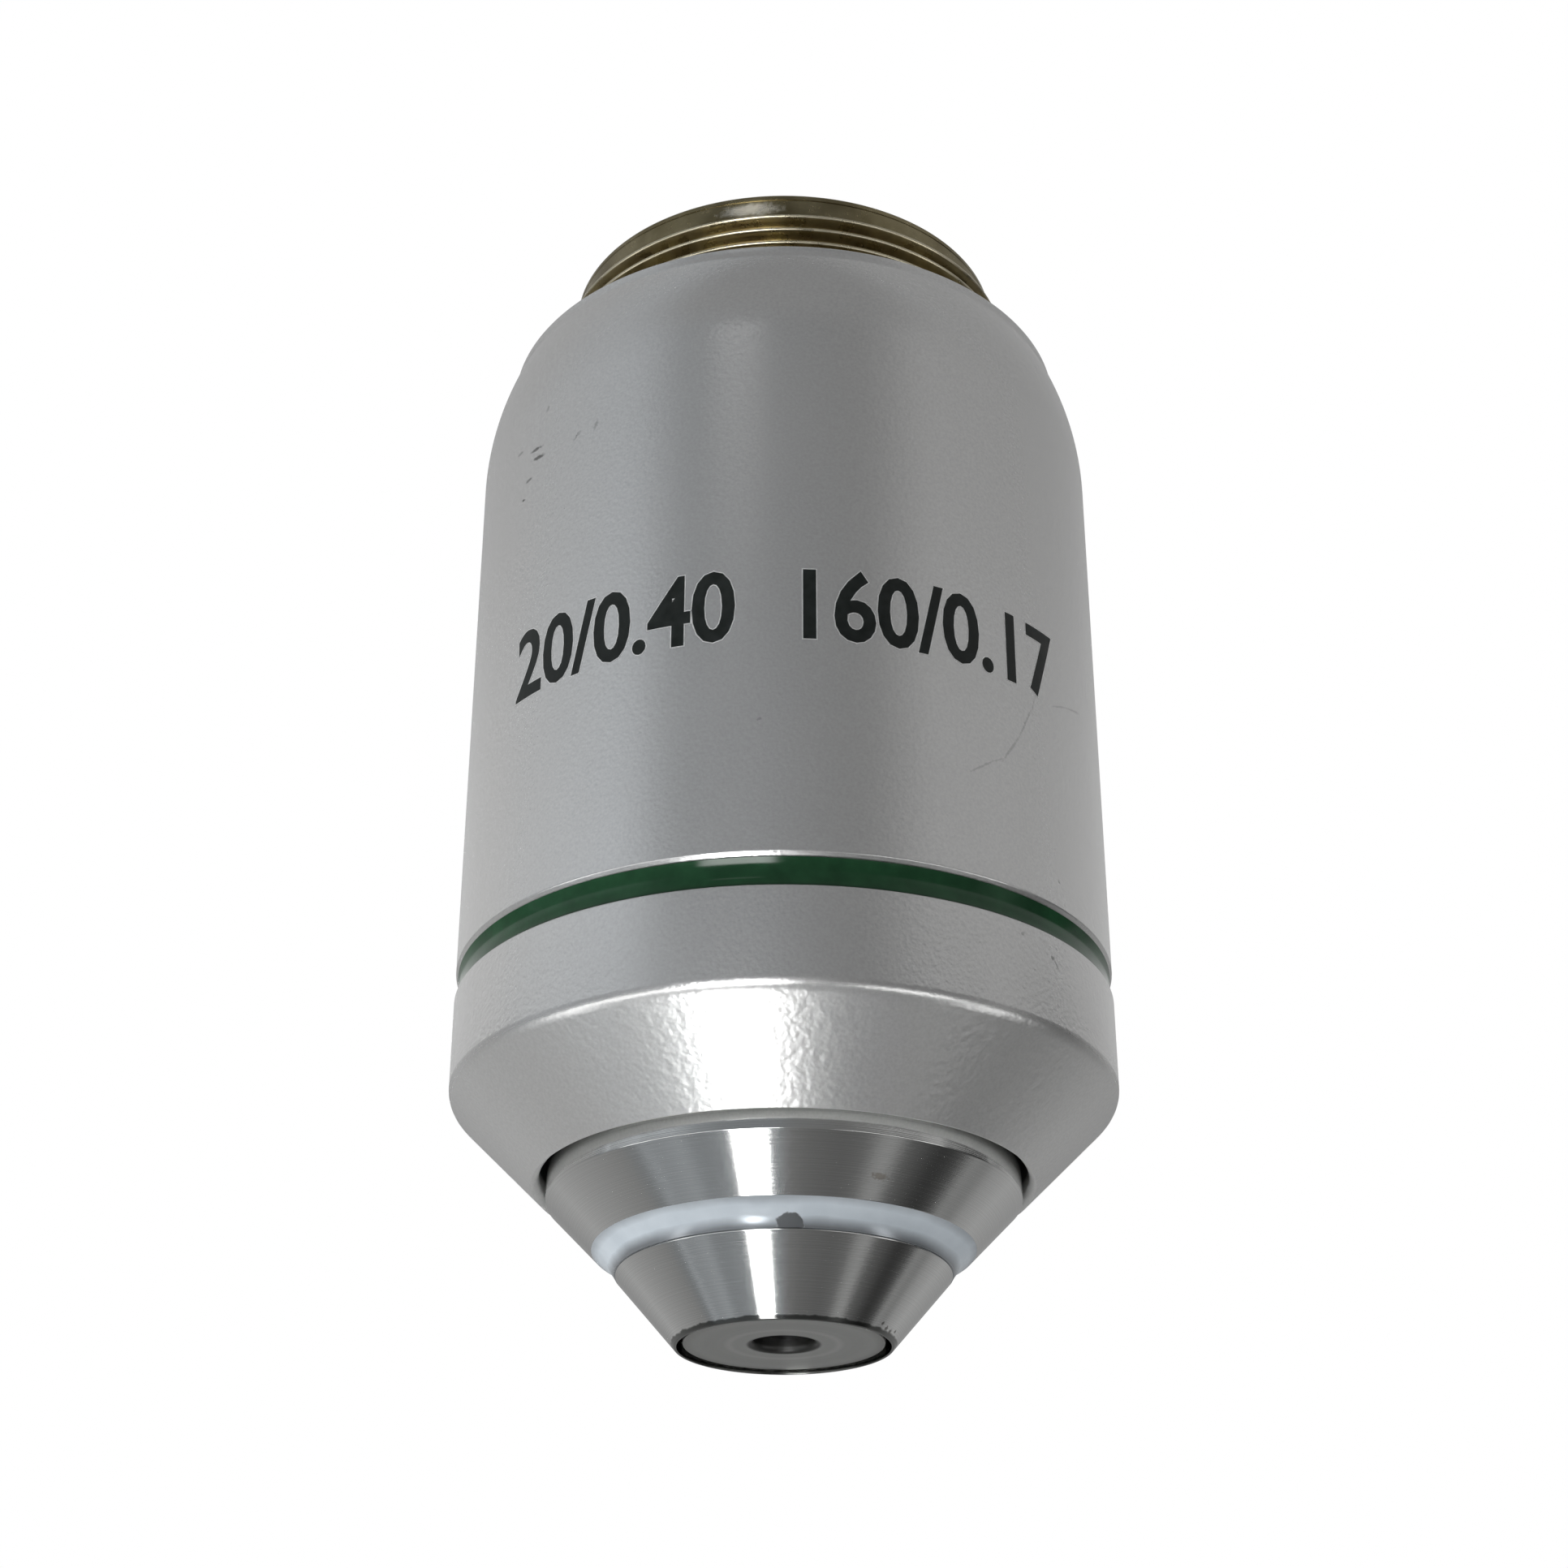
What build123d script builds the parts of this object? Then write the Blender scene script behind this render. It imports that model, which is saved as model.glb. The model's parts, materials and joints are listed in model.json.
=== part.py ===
from build123d import *
import math
import os

# A microscope objective with a nose that springs back into its barrel.
# Sizes are millimetres. Z runs up the optical axis, with the seating shoulder at Z = 0,
# the mount thread above it and the nose below it.
# The radii build outwards from the bore that holds the lens cells, wall by wall.

# From the shoulder to the plane of sharp focus
focus_distance = 45.0

# Mount thread, 20.32 mm over the crests and 36 turns to the inch, with a plain pilot beyond it
thread_radius = 10.16
thread_pitch = 25.4 / 36
thread_angle = 55.0
thread_flat_share = 1 / 6
thread_height = 2.85
thread_phase = 0.37
thread_bevel = 0.12
thread_wall = 1.46
undercut_height = 0.85
pilot_height = 1.2
pilot_inset = 0.03
pilot_bevel = 0.15

# Mount tube
mount_flange_width = 0.6
mount_flange_height = 2.0
tube_wall = 2.3
lip_width = 0.55
lip_height = 2.0
mouth_bevel = 0.3

# Outer sleeves and the coloured band between them
sleeve_wall = 2.55
shoulder_inset = 1.11
shoulder_land = 0.42
dome_height = 5.08
upper_sleeve_length = 28.77
sleeve_rib_height = 3.0
sleeve_pilot_height = 4.2
sleeve_relief_depth = 0.98
sleeve_edge_bevel = 0.18
band_height = 1.15
band_recess = 0.1
band_hollow = 0.1
lower_sleeve_straight = 3.92
sleeve_thread_length = 3.08
lower_rim_bevel = 0.06
mouth_lead = 0.25
sleeve_cone_angle = 45.0
sleeve_corner_round = 0.7
sleeve_mouth_land = 0.28
step_gap = 0.3

# Nosepiece
nose_wall = 1.43
mouth_gap = 0.3
nose_reveal = 0.58
upper_cone_height = 1.94
ring_top_radius = 7.58
ring_height = 0.94
ring_bottom_radius = 6.66
ring_depth = 0.35
ring_hollow = 0.1
lower_cone_height = 2.8
rim_radius = 4.27
rim_land = 0.1
nose_travel = 2.0
travel_margin = 0.4
nose_top_bevel = 0.2

# Sliding carriage
stack_bore = 6.0
carriage_wall = 1.25
spring_room = 1.35
carriage_flange_height = 3.35
carriage_overrun = 2.5
baffle_pitch = 1.6
baffle_width = 0.8
baffle_depth = 0.3

# Spring and its seats
retainer_depth = 9.5
retainer_height = 2.5
shim_thickness = 0.15
washer_thickness = 0.3
washer_margin = 0.1
wire_radius = 0.4
wire_sides = 8
spring_live_turns = 5
coil_gap = 0.02

# Guide screw
screw_radius = 1.0
dog_radius = 0.75
dog_reach = 0.75
screw_inset = 0.1
screw_slot_width = 0.3
screw_slot_depth = 0.5

# Spanner slots in the screwed rings
slot_width = 1.4
slot_depth = 0.8

# Front cell and front lens
face_recess = 0.13
face_gap = 0.23
front_seat_depth = 2.35
front_flange_height = 1.2
front_flange_inset = 0.8
dimple_radius = 1.2
dimple_round = 0.3
front_lip = 0.55
front_edge_radius = 1.75
front_curve = 1.9
front_thickness = 1.6
front_cell_wall = 0.25
front_clear_radius = 3.3

# Middle doublet
pilot_depth = 1.6
middle_lip_height = 0.9
middle_lip_bore = 3.2
middle_edge_radius = 3.7
middle_flint_thickness = 0.9
middle_cement_curve = 5.6
middle_crown_edge = 0.25
middle_rear_curve = 7.0

# Rear doublet
spacer_length = 5.7
spacer_wall = 1.28
rear_lip_height = 0.8
rear_lip_width = 0.4
rear_cell_wall = 1.36
rear_flint_thickness = 1.1
rear_cement_curve = 8.5
rear_crown_edge = 0.63
rear_rear_curve = 12.0
cell_margin = 0.3
stop_thickness = 0.3
stop_bore = 4.2
stack_ring_height = 1.8
stack_ring_width = 1.38

# Clearances, all on the radius
seat_clearance = 0.02
running_clearance = 0.05
dog_clearance = 0.3

# How far a cut runs on past the metal it goes through, and past the crests of the thread
cut_overrun = 1.0
crest_overrun = 0.05


def sag(curve, radius):
    """How far a spherical face of this radius of curvature falls away at a distance from the axis."""
    return curve - math.sqrt(curve**2 - radius**2)


# Radii of the lens stack and its cells
cell_radius = stack_bore - seat_clearance
rear_edge_radius = cell_radius - rear_cell_wall - seat_clearance
rear_lip_bore = rear_edge_radius - rear_lip_width
spacer_bore = cell_radius - spacer_wall
stack_ring_bore = cell_radius - stack_ring_width
front_flange_radius = stack_bore - front_flange_inset
middle_crown_thickness = (
    sag(middle_cement_curve, middle_edge_radius) + middle_crown_edge + sag(middle_rear_curve, middle_edge_radius)
)
rear_crown_thickness = (
    sag(rear_cement_curve, rear_edge_radius) + rear_crown_edge + sag(rear_rear_curve, rear_edge_radius)
)

# Radii of the carriage, the mount tube and the sleeves
carriage_radius = stack_bore + carriage_wall
retainer_bore = carriage_radius + running_clearance
tube_bore = carriage_radius + spring_room
spring_radius = (carriage_radius + tube_bore) / 2
retainer_radius = tube_bore - seat_clearance
flange_radius = tube_bore - running_clearance
lip_bore = tube_bore - lip_width
neck_radius = lip_bore - running_clearance
neck_socket = neck_radius + seat_clearance
tube_radius = tube_bore + tube_wall
mount_flange_radius = tube_radius + mount_flange_width
thread_bore = thread_radius - thread_wall
thread_flat = thread_pitch * thread_flat_share
thread_depth = (thread_pitch / 2 - thread_flat) / math.tan(math.radians(thread_angle / 2))
pilot_radius = thread_radius - thread_depth - pilot_inset
sleeve_bore = tube_radius + seat_clearance
sleeve_relief = sleeve_bore + sleeve_relief_depth
barrel_radius = sleeve_bore + sleeve_wall
shoulder_radius = barrel_radius - shoulder_inset
dog_tip = flange_radius - dog_reach

# Radii of the nose and its mouth
nose_radius = neck_socket + nose_wall
nose_passage = nose_radius + mouth_gap
sleeve_mouth_radius = nose_passage + sleeve_mouth_land
rim_bore = rim_radius - rim_land
head_radius = rim_bore - face_gap

# Heights up the mount thread
thread_top = undercut_height + thread_height
pilot_top = thread_top + pilot_height

# Heights down the barrel
band_top = -upper_sleeve_length
band_bottom = band_top - band_height
sleeve_edge = band_bottom - lower_sleeve_straight
sleeve_cone_slope = math.tan(math.radians(sleeve_cone_angle))
sleeve_mouth = sleeve_edge - (barrel_radius - sleeve_mouth_radius) * sleeve_cone_slope
tube_bottom = band_bottom - sleeve_thread_length
lip_top = tube_bottom + lip_height
retainer_top = -retainer_depth
retainer_bottom = retainer_top - retainer_height

# Heights down the nose
nose_edge = sleeve_mouth - nose_reveal
ring_top = nose_edge - upper_cone_height
ring_bottom = ring_top - ring_height
tip = ring_bottom - lower_cone_height
nose_top = tube_bottom - nose_travel - travel_margin
face = tip + face_recess
front_lens_seat = face + front_lip
front_seat = tip + front_seat_depth
middle_seat = front_seat + front_flange_height
neck_end = middle_seat + pilot_depth

# Heights up the carriage
flange_bottom = lip_top + shim_thickness
flange_top = flange_bottom + carriage_flange_height
washer_top = flange_top + washer_thickness
carriage_top = retainer_top + carriage_overrun
middle_lens_seat = middle_seat + middle_lip_height
middle_apex = middle_lens_seat + middle_flint_thickness + middle_crown_thickness
middle_cell_top = middle_apex + cell_margin
rear_seat = middle_cell_top + spacer_length
rear_lens_seat = rear_seat + rear_lip_height
rear_apex = rear_lens_seat + rear_flint_thickness + rear_crown_thickness
rear_cell_top = rear_apex + cell_margin
stop_top = rear_cell_top + stop_thickness
stack_ring_top = stop_top + stack_ring_height
guide_height = flange_top - dog_radius - dog_clearance / 2


def turned(outline, rounds=(), bevels=()):
    """Turns a closed outline of (radius, height) points about Z, after its named corners are eased."""
    section = make_face(Polyline(*outline, close=True))
    for corner, size in rounds:
        section = fillet(section.vertices().sort_by_distance(corner)[0], size)
    for corner, size in bevels:
        section = chamfer(section.vertices().sort_by_distance(corner)[0], size)
    return revolve(Plane.XZ * section, axis=Axis.Z)


def turned_edges(*edges):
    """Turns a closed outline of lines and arcs, drawn as (radius, height), about Z."""
    return revolve(Plane.XZ * make_face(list(edges)), axis=Axis.Z)


def ring(outer, inner, bottom, top):
    """A plain ring on the axis."""
    return turned([(outer, bottom), (outer, top), (inner, top), (inner, bottom)])


def hollow_edge(start, end, depth):
    """The arc from one (radius, height) point to another that bows towards the axis by a depth."""
    middle = ((start[0] + end[0]) / 2, (start[1] + end[1]) / 2)
    length = math.dist(start, end)
    inward = ((end[1] - start[1]) / length, -(end[0] - start[0]) / length)
    crown = (middle[0] + inward[0] * depth, middle[1] + inward[1] * depth)
    return ThreePointArc(start, crown, end)


def bowl(apex, curve, edge):
    """The section of a face that is a sphere, low on the axis and rising to its edge."""
    half = (edge / 2, apex + sag(curve, edge / 2))
    return ThreePointArc((0, apex), half, (edge, apex + sag(curve, edge)))


def dome(apex, curve, edge):
    """The section of a face that is a sphere, high on the axis and falling to its edge."""
    half = (edge / 2, apex - sag(curve, edge / 2))
    return ThreePointArc((0, apex), half, (edge, apex - sag(curve, edge)))


def plano_hollow_lens(bottom, thickness, curve, edge):
    """A lens with a flat lower face and a hollow upper face."""
    upper = bowl(bottom + thickness, curve, edge)
    return turned_edges(
        Line((0, bottom), (edge, bottom)),
        Line((edge, bottom), upper @ 1),
        upper,
        Line((0, bottom + thickness), (0, bottom)),
    )


def double_bulged_lens(bottom, thickness, lower_curve, upper_curve, edge):
    """A lens that bulges on both faces."""
    lower = bowl(bottom, lower_curve, edge)
    upper = dome(bottom + thickness, upper_curve, edge)
    return turned_edges(
        lower,
        Line(lower @ 1, upper @ 1),
        upper,
        Line((0, bottom + thickness), (0, bottom)),
    )


def spanner_slots(solid, outer, top):
    """Cuts the two slots for a pin spanner into the upper face of a screwed ring."""
    length = 2 * (outer + cut_overrun)
    cutter = Box(length, slot_width, slot_depth, align=(Align.CENTER, Align.CENTER, Align.MAX))
    return solid - Pos(0, 0, top) * cutter


def light_traps(bore, bottom, top):
    """The corners of a row of square grooves up a bore, which stop light from glancing along it."""
    count = int((top - bottom) / baffle_pitch)
    first = (top + bottom - count * baffle_pitch) / 2 + (baffle_pitch - baffle_width) / 2
    corners = []
    for index in range(count):
        low = first + index * baffle_pitch
        high = low + baffle_width
        floor = bore + baffle_depth
        corners += [(bore, low), (floor, low), (floor, high), (bore, high)]
    return corners


def cut_thread(blank):
    """Cuts the right-hand groove of the mount thread, one turn at a time, from the undercut to the pilot."""
    groove_half = (thread_pitch - thread_flat) / 2
    outline = [
        (crest_overrun, -groove_half),
        (crest_overrun, groove_half),
        (0, groove_half),
        (-thread_depth, thread_flat / 2),
        (-thread_depth, -thread_flat / 2),
        (0, -groove_half),
    ]
    section = make_face(Polyline(*outline, close=True))
    turns = math.ceil((thread_top + groove_half - thread_phase) / thread_pitch)
    for turn in range(turns):
        path = Helix(thread_pitch, thread_pitch, thread_radius, center=(0, 0, thread_phase + turn * thread_pitch))
        start = Plane(origin=path @ 0, x_dir=(1, 0, 0), z_dir=path % 0)
        blank -= sweep(start * section, path=path, is_frenet=True)
    return blank


def make_mount_tube():
    """The brass body: thread, seating flange, long tube and the lip that stops the carriage."""
    body = turned(
        [
            (pilot_radius, pilot_top),
            (pilot_radius, thread_top),
            (thread_radius, thread_top),
            (thread_radius, undercut_height),
            (pilot_radius, undercut_height),
            (pilot_radius, 0),
            (mount_flange_radius, 0),
            (mount_flange_radius, -mount_flange_height),
            (tube_radius, -mount_flange_height),
            (tube_radius, tube_bottom),
            (lip_bore, tube_bottom),
            (lip_bore, lip_top),
            (tube_bore, lip_top),
            (tube_bore, 0),
            (thread_bore, 0),
            (thread_bore, pilot_top),
        ],
        bevels=[
            ((pilot_radius, pilot_top), pilot_bevel),
            ((thread_radius, thread_top), thread_bevel),
            ((thread_radius, undercut_height), thread_bevel),
            ((thread_bore, pilot_top), mouth_bevel),
            ((tube_radius, tube_bottom), mouth_bevel),
        ],
    )
    screw_hole = Pos(0, (tube_bore + tube_radius) / 2, guide_height) * Rot(90, 0, 0)
    drilled = body - screw_hole * Cylinder(screw_radius + seat_clearance, tube_wall + 2 * cut_overrun)
    return cut_thread(drilled)


def make_upper_sleeve():
    """The long sleeve, hung on the mount flange by its inner rib, with the domed shoulder outside."""
    rib_top = -mount_flange_height
    rib_bottom = rib_top - sleeve_rib_height
    land_top = band_top + sleeve_pilot_height
    flange_nest = mount_flange_radius + seat_clearance
    dome_top = (shoulder_radius, -shoulder_land)
    dome_foot = (barrel_radius, -shoulder_land - dome_height)
    shoulder_arc = TangentArc(dome_foot, dome_top, tangent=(0, 1))
    return turned_edges(
        Polyline((flange_nest, 0), (shoulder_radius, 0), dome_top),
        shoulder_arc,
        Polyline(
            dome_foot,
            (barrel_radius, band_top + sleeve_edge_bevel),
            (barrel_radius - sleeve_edge_bevel, band_top),
            (sleeve_bore, band_top),
            (sleeve_bore, land_top),
            (sleeve_relief, land_top),
            (sleeve_relief, rib_bottom),
            (sleeve_bore, rib_bottom),
            (sleeve_bore, rib_top),
            (flange_nest, rib_top),
            (flange_nest, 0),
        ),
    )


def make_colour_band():
    """The enamelled ring clamped between the sleeves, a little below their surface and hollow."""
    band_radius = barrel_radius - band_recess
    high = (band_radius, band_top)
    low = (band_radius, band_bottom)
    return turned_edges(
        hollow_edge(high, low, band_hollow),
        Polyline(low, (sleeve_bore, band_bottom), (sleeve_bore, band_top), high),
    )


def make_lower_sleeve():
    """The short sleeve that screws onto the tube and clamps the band, with its cone and mouth."""
    step = tube_bottom - step_gap
    return turned(
        [
            (barrel_radius, band_bottom),
            (barrel_radius, sleeve_edge),
            (sleeve_mouth_radius, sleeve_mouth),
            (nose_passage, sleeve_mouth),
            (nose_passage, step),
            (sleeve_bore, step),
            (sleeve_bore, band_bottom),
        ],
        rounds=[((barrel_radius, sleeve_edge), sleeve_corner_round)],
        bevels=[((barrel_radius, band_bottom), lower_rim_bevel), ((nose_passage, sleeve_mouth), mouth_lead)],
    )


def make_spring_retainer():
    """The slotted ring that holds the spring in and guides the rear of the carriage."""
    body = ring(retainer_radius, retainer_bore, retainer_bottom, retainer_top)
    return spanner_slots(body, retainer_radius, retainer_top)


def make_guide_screw():
    """A slotted screw along Y whose plain point runs in the slot of the carriage flange."""
    shoulder = tube_bore + dog_clearance / 2
    head = tube_radius - screw_inset
    thread = Pos(0, shoulder, 0) * Rot(-90, 0, 0) * Cylinder(
        screw_radius, head - shoulder, align=(Align.CENTER, Align.CENTER, Align.MIN)
    )
    dog = Pos(0, dog_tip, 0) * Rot(-90, 0, 0) * Cylinder(
        dog_radius, shoulder - dog_tip, align=(Align.CENTER, Align.CENTER, Align.MIN)
    )
    driver_slot = Pos(0, head, 0) * Box(
        2 * (screw_radius + cut_overrun), 2 * screw_slot_depth, screw_slot_width
    )
    return Pos(0, 0, guide_height) * (thread + dog - driver_slot)


def make_parfocal_shim():
    """The thin washer that sets how far the nose hangs below the shoulder."""
    return ring(flange_radius, lip_bore, lip_top, flange_bottom)


def make_carriage_tube():
    """The inner tube: rear guide, sliding flange with its guide slot, and the threaded neck."""
    traps = light_traps(stack_bore, stack_ring_top, carriage_top)
    body = turned(
        [
            (carriage_radius, carriage_top),
            (carriage_radius, flange_top),
            (flange_radius, flange_top),
            (flange_radius, flange_bottom),
            (neck_radius, flange_bottom),
            (neck_radius, neck_end),
            (stack_bore, neck_end),
        ]
        + traps
        + [(stack_bore, carriage_top)],
        bevels=[((carriage_radius, carriage_top), mouth_bevel)],
    )
    slot_floor = dog_tip - dog_clearance
    slot_bottom = guide_height - nose_travel - dog_radius - dog_clearance / 2
    slot = Box(
        2 * (dog_radius + running_clearance),
        flange_radius,
        flange_top - slot_bottom,
        align=(Align.CENTER, Align.MIN, Align.MIN),
    )
    return body - Pos(0, slot_floor, slot_bottom) * slot


def make_slip_washer():
    """The washer that lets the spring turn on the flange."""
    outer = flange_radius - washer_margin
    inner = carriage_radius + washer_margin
    return ring(outer, inner, flange_top, washer_top)


def make_return_spring():
    """A wire spring with one closed turn at each end. The round wire is drawn with a few flat sides."""
    pitch_closed = 2 * wire_radius + coil_gap
    bottom = washer_top + wire_radius + coil_gap
    top = retainer_bottom - wire_radius - coil_gap
    live_height = top - bottom - 2 * pitch_closed
    live_bottom = bottom + pitch_closed
    live_top = live_bottom + live_height
    lower_turn = Helix(pitch_closed, pitch_closed, spring_radius, center=(0, 0, bottom))
    live_turns = Helix(live_height / spring_live_turns, live_height, spring_radius, center=(0, 0, live_bottom))
    upper_turn = Helix(pitch_closed, pitch_closed, spring_radius, center=(0, 0, live_top))
    path = Wire([lower_turn, live_turns, upper_turn])
    wire = Plane(origin=path @ 0, z_dir=path % 0) * RegularPolygon(wire_radius, wire_sides)
    return sweep(wire, path=path, is_frenet=True)


def make_nosepiece():
    """The bright nose: cylinder, two cones, the ring groove, and the seats for cells and neck."""
    return turned(
        [
            (nose_radius, nose_top),
            (nose_radius, nose_edge),
            (ring_top_radius, ring_top),
            (ring_top_radius - ring_depth, ring_top),
            (ring_bottom_radius - ring_depth, ring_bottom),
            (ring_bottom_radius, ring_bottom),
            (rim_radius, tip),
            (rim_bore, tip),
            (rim_bore, front_seat),
            (front_flange_radius + seat_clearance, front_seat),
            (front_flange_radius + seat_clearance, middle_seat),
            (stack_bore, middle_seat),
            (stack_bore, neck_end),
            (neck_socket, neck_end),
            (neck_socket, nose_top),
        ],
        bevels=[((nose_radius, nose_top), nose_top_bevel)],
    )


def make_immersion_ring():
    """The enamel that fills the groove between the cones, with a slightly hollow face."""
    high = (ring_top_radius, ring_top)
    low = (ring_bottom_radius, ring_bottom)
    return turned_edges(
        hollow_edge(high, low, ring_hollow),
        Polyline(
            low,
            (ring_bottom_radius - ring_depth, ring_bottom),
            (ring_top_radius - ring_depth, ring_top),
            high,
        ),
    )


def make_front_cell():
    """The stepped cell whose face shows in the tip, with a rounded dimple over the front lens."""
    lens_bore = front_edge_radius + seat_clearance
    wall_top = front_lens_seat + front_thickness - sag(front_curve, front_edge_radius) + front_cell_wall
    return turned(
        [
            (head_radius, face),
            (head_radius, front_seat),
            (front_flange_radius, front_seat),
            (front_flange_radius, middle_seat),
            (front_clear_radius, middle_seat),
            (front_clear_radius, front_seat),
            (lens_bore, wall_top),
            (lens_bore, front_lens_seat),
            (dimple_radius, front_lens_seat),
            (dimple_radius, face),
        ],
        rounds=[((dimple_radius, face), dimple_round)],
    )


def make_front_lens():
    """The front lens, flat towards the specimen and nearly a half ball behind."""
    upper = dome(front_lens_seat + front_thickness, front_curve, front_edge_radius)
    return turned_edges(
        Line((0, front_lens_seat), (front_edge_radius, front_lens_seat)),
        Line((front_edge_radius, front_lens_seat), upper @ 1),
        upper,
        Line((0, front_lens_seat + front_thickness), (0, front_lens_seat)),
    )


def make_lens_cell(bottom, lens_seat, top, lip_radius, edge):
    """A cell that carries a doublet on an inner lip."""
    lens_bore = edge + seat_clearance
    return turned(
        [
            (cell_radius, bottom),
            (cell_radius, top),
            (lens_bore, top),
            (lens_bore, lens_seat),
            (lip_radius, lens_seat),
            (lip_radius, bottom),
        ]
    )


def make_spacer_tube():
    """The tube that sets the air space between the doublets, grooved inside against stray light."""
    traps = light_traps(spacer_bore, middle_cell_top, rear_seat)
    return turned(
        [(cell_radius, rear_seat), (cell_radius, middle_cell_top), (spacer_bore, middle_cell_top)]
        + traps
        + [(spacer_bore, rear_seat)]
    )


def make_stack_ring():
    """The slotted ring screwed down on the stack of cells."""
    body = ring(cell_radius, stack_ring_bore, stop_top, stack_ring_top)
    return spanner_slots(body, cell_radius, stack_ring_top)


def make_parts():
    """Every piece by name."""
    return {
        "mount_tube": make_mount_tube(),
        "upper_sleeve": make_upper_sleeve(),
        "colour_band": make_colour_band(),
        "lower_sleeve": make_lower_sleeve(),
        "spring_retainer": make_spring_retainer(),
        "guide_screw": make_guide_screw(),
        "parfocal_shim": make_parfocal_shim(),
        "return_spring": make_return_spring(),
        "slip_washer": make_slip_washer(),
        "carriage_tube": make_carriage_tube(),
        "nosepiece": make_nosepiece(),
        "immersion_ring": make_immersion_ring(),
        "front_cell": make_front_cell(),
        "front_lens": make_front_lens(),
        "middle_cell": make_lens_cell(
            middle_seat, middle_lens_seat, middle_cell_top, middle_lip_bore, middle_edge_radius
        ),
        "middle_flint": plano_hollow_lens(
            middle_lens_seat, middle_flint_thickness, middle_cement_curve, middle_edge_radius
        ),
        "middle_crown": double_bulged_lens(
            middle_lens_seat + middle_flint_thickness,
            middle_crown_thickness,
            middle_cement_curve,
            middle_rear_curve,
            middle_edge_radius,
        ),
        "spacer_tube": make_spacer_tube(),
        "rear_cell": make_lens_cell(rear_seat, rear_lens_seat, rear_cell_top, rear_lip_bore, rear_edge_radius),
        "rear_flint": plano_hollow_lens(
            rear_lens_seat, rear_flint_thickness, rear_cement_curve, rear_edge_radius
        ),
        "rear_crown": double_bulged_lens(
            rear_lens_seat + rear_flint_thickness,
            rear_crown_thickness,
            rear_cement_curve,
            rear_rear_curve,
            rear_edge_radius,
        ),
        "aperture_stop": ring(cell_radius, stop_bore, rear_cell_top, stop_top),
        "stack_ring": make_stack_ring(),
    }


os.makedirs("parts", exist_ok=True)
for name, solid in make_parts().items():
    export_step(solid, f"parts/{name}.step")
print("working distance", round(focus_distance + tip, 3))
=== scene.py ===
import bpy
import bmesh
import json
import math
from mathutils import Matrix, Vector


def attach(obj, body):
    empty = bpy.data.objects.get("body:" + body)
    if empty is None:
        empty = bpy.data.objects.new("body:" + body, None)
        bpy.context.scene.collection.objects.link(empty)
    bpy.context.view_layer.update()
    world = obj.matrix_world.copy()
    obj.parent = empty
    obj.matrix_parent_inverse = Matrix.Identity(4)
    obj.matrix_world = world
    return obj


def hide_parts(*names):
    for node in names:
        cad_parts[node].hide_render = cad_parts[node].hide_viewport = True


# The looks of a microscope objective. Sizes are millimetres until a mesh is made, Z runs up the
# optical axis with the seating shoulder at Z = 0, and the numbers on the barrel face -Y.
# Most radii follow from those of the tube and the nose, and most heights from the shoulder and the
# coloured band.

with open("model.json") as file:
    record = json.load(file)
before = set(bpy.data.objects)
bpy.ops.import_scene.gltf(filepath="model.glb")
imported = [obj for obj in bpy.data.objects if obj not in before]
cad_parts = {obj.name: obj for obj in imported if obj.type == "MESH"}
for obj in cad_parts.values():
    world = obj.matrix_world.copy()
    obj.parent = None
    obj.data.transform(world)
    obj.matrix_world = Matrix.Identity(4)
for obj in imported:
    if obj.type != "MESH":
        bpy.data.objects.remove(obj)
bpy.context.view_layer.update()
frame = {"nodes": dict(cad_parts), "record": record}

MM = 0.001
PER_MM = 1000.0

# Fineness of the turned pieces
ROUND_STEPS = 384
LENS_STEPS = 96
ARC_STEPS = 16
DOME_STEPS = 24
CAP_STEPS = 20
CORNER_STEPS = 4
EASE_LIMIT = 0.45
SUPPORT = 0.03
SHARP_ANGLE = math.radians(50)
MERGE = 1e-8
TINY = 1e-9

# Mount thread, with 36 turns to the inch and rounds at its crests and roots. The shares are places
# on half a round.
THREAD_RADIUS = 10.16
THREAD_PITCH = 25.4 / 36
THREAD_FLANK = math.radians(27.5)
THREAD_ROUND = 0.1373 * THREAD_PITCH
THREAD_DEPTH = 0.6403 * THREAD_PITCH
THREAD_BOTTOM = 0.85
THREAD_TOP = THREAD_BOTTOM + 2.85
THREAD_PHASE = 0.37
THREAD_BEVEL = 0.12
THREAD_BORE = THREAD_RADIUS - 1.46
ROUND_SHARES = (0.25, 0.6, 1)

# Plain pilot beyond the thread, with a fine turned line
PILOT_RADIUS = 9.678
PILOT_TOP = THREAD_TOP + 1.2
PILOT_BEVEL = 0.15
PILOT_LINE = PILOT_TOP - 0.3
PILOT_LINE_WIDTH = 0.07
PILOT_LINE_DEPTH = 0.05

# Mount tube
TUBE_RADIUS = 10.9
TUBE_BORE = TUBE_RADIUS - 2.3
TUBE_BOTTOM = -33.0
MOUNT_FLANGE_RADIUS = TUBE_RADIUS + 0.6
MOUNT_FLANGE_HEIGHT = 2.0
LIP_BORE = TUBE_BORE - 0.55
LIP_TOP = TUBE_BOTTOM + 2.0
MOUTH_BEVEL = 0.3

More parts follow.
